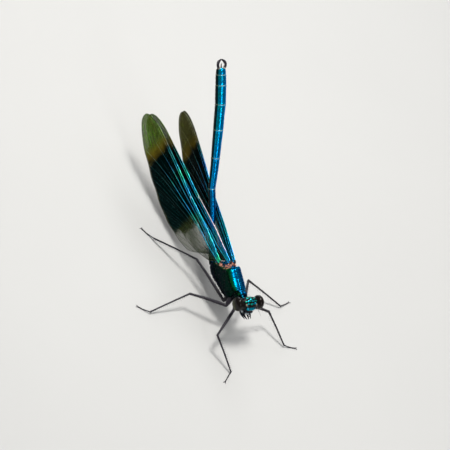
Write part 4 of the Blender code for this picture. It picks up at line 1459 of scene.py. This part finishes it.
def buildDown():
    radius = down["radius"]
    shape = Shape()
    a = trunkGrid[..., 0]
    weight = np.where(trunkTurn < 50, 0.35, 1.0) + 1.2 * smoothStep(trunkTurn, 110, 150)
    weight = weight * smoothStep(a, 1.5, 1.2) * smoothStep(-a, 8.6, 8.2)
    count, short, long = down["trunk"]
    roots, out, back, patches = pickRoots(trunkGrid, trunkNormal, weight, count)
    lengths = rng.uniform(short, long, count)
    ways = back * 0.9 + out * 0.55 + rng.normal(size=out.shape) * 0.15
    addHairs(shape, roots - out * 0.01, ways, lengths, radius, patches * 0.5)
    weight = (fromEye(*np.moveaxis(headGrid, -1, 0)) > 1.05) * np.where(headGrid[..., 0] > 0.9, 0.4, 1.0)
    count, short, long = down["head"]
    roots, out, back, patches = pickRoots(headPlace(headGrid), headWay(headNormal), weight, count)
    ways = out * 0.8 + np.array([-0.4, 0, 0.3]) + rng.normal(size=out.shape) * 0.2
    addHairs(shape, roots - out * 0.01, ways, rng.uniform(short, long, count), radius * 0.8, patches * 0.3 + 0.6)
    shape.build("down_front", downMaterial, "thorax_cuticle", mapped=True)

    shape = Shape()
    weight = np.ones(abdomenGrid.shape[:2])
    count, short, long = down["abdomen"]
    roots, out, back, patches = pickRoots(abdomenGrid, gridNormals(abdomenGrid), weight, count)
    lengths = rng.uniform(short, long, count)
    addHairs(shape, roots - out * 0.008, back + out * 0.35, lengths, radius * 0.75, patches)
    shape.build("down_abdomen", bristleMaterial, "abdomen_cuticle", mapped=True)

    shape = Shape()
    count, short, long = down["face"]
    side = rng.uniform(-0.9, 0.9, count)
    height = rng.uniform(-1.9, 0.4, count)
    ahead = 1.50 - 0.1 * side**2 - 0.35 * smoothStep(-height, 1.1, 1.9)
    roots = headPlace(np.stack([ahead, side * 0.9, height], -1))
    ways = headWay((1, 0, 0)) * 0.8 + np.array([0, 0, -0.5]) + rng.normal(size=(count, 3)) * 0.35
    patches = np.stack([side * 0.2 + 0.5, height * 0.2 + 0.5], -1)
    addHairs(shape, roots, ways, rng.uniform(short, long, count), 0.009, patches)
    shape.build("down_face", bristleMaterial, "mouth_cuticle", mapped=True)


buildDown()
print("down ready")

# Floor, light and camera

studio = {
    "floorColour": (0.60, 0.60, 0.588),
    "floorHalf": 3.0,
    # each light: its way as right, up and back of the picture, width and height, power, colour
    "lights": {
        "key": ((0.35, 0.75, 0.65), (0.062, 0.07), 0.55, (1.0, 0.98, 0.95)),
        "fill": ((-0.9, 0.2, 0.6), (0.10, 0.10), 0.03, (0.9, 0.95, 1.0)),
        "strip": ((0.47, -0.32, 0.82), (0.035, 0.14), 0.09, (1.0, 1.0, 1.0)),
        "rim": ((0.2, 0.9, -0.25), (0.14, 0.06), 0.16, (1.0, 1.0, 1.0)),
    },
    "lightDistance": 0.25,
    "ceilingHeight": 1.6,
    "ceilingSize": (3.0, 3.0),
    "ceilingPower": 15.0,
    "worldColour": (0.88, 0.9, 0.93),
    "worldStrength": 0.17,
    "wallStrength": 0.8,
    "lens": 800.0,
    "sensor": 36.0,
    "viewSpan": 78.95,  # the width of the picture at the target, in millimetres
    "target": (-11.353, -0.548, 12.351),
    "right": (0.8256, -0.3840, 0.4135),
    "up": (0.0682, 0.7953, 0.6024),
    "back": (-0.5602, -0.4691, 0.6828),
}


def makeFloor():
    mesh = bpy.data.meshes.new("floor")
    half = studio["floorHalf"]
    mesh.from_pydata([(-half, -half, 0), (half, -half, 0), (half, half, 0), (-half, half, 0)], [], [(0, 1, 2, 3)])
    material, tree, shader = newMaterial("floorPaint", roughness=0.8)
    noise = noiseAt(tree, objectPlace(tree), 40.0, 3.0)
    base = studio["floorColour"]
    tree.links.new(mixColour(tree, noise, base, tuple(c * 0.97 for c in base)), shader.inputs["Base Color"])
    mesh.materials.append(material)
    floor = bpy.data.objects.new("floor", mesh)
    bpy.context.collection.objects.link(floor)


def addLight(name, way, distance, size, power, colour=(1, 1, 1)):
    light = bpy.data.lights.new(name, "AREA")
    light.shape = "RECTANGLE"
    light.size, light.size_y = size
    light.energy = power
    light.color = colour
    holder = bpy.data.objects.new(name, light)
    way = Vector(way).normalized()
    holder.location = Vector(toWorld(studio["target"])) + way * distance
    holder.rotation_mode = "QUATERNION"
    side = Vector(studio["up"]).cross(way).normalized()
    holder.rotation_quaternion = Matrix((side, way.cross(side), way)).transposed().to_quaternion()
    holder.visible_camera = False
    bpy.context.collection.objects.link(holder)
    return holder


def makeStudio():
    makeFloor()
    right, up, back = (Vector(studio[k]) for k in ("right", "up", "back"))
    holders = {}
    for name, ((r, u, b), size, power, colour) in studio["lights"].items():
        way = right * r + up * u + back * b
        holders[name] = addLight(name, way, studio["lightDistance"], size, power, colour)
    overhead = studio["ceilingHeight"], studio["ceilingSize"], studio["ceilingPower"]
    holders["ceiling"] = addLight("ceiling", (0.02, 0.0, 1.0), *overhead)
    # the two broadest lights are kept out of the reflections
    for name in ("fill", "ceiling"):
        holders[name].visible_glossy = False
    world = bpy.data.worlds.new("studio")
    bpy.context.scene.world = world
    world.use_nodes = True
    background = world.node_tree.nodes["Background"]
    background.inputs[0].default_value = (*studio["worldColour"], 1.0)
    # the wall behind looks pale, while only a soft part of it lights the piece
    seen = addNode(world.node_tree, "ShaderNodeLightPath").outputs["Is Camera Ray"]
    strength = fade(world.node_tree, seen, 0.0, 1.0, studio["worldStrength"], studio["wallStrength"])
    world.node_tree.links.new(strength, background.inputs[1])

    camera = bpy.data.cameras.new("camera")
    camera.lens = studio["lens"]
    camera.sensor_width = studio["sensor"]
    holder = bpy.data.objects.new("camera", camera)
    distance = studio["viewSpan"] * mm * studio["lens"] / studio["sensor"]
    turn = Matrix((right, up, back)).transposed()
    holder.matrix_world = Matrix.Translation(Vector(toWorld(studio["target"])) + back * distance) @ turn.to_4x4()
    camera.clip_start, camera.clip_end = 0.05, 20.0
    bpy.context.collection.objects.link(holder)
    bpy.context.scene.camera = holder
    bpy.context.scene.view_settings.view_transform = "Standard"


makeStudio()
print("studio ready")
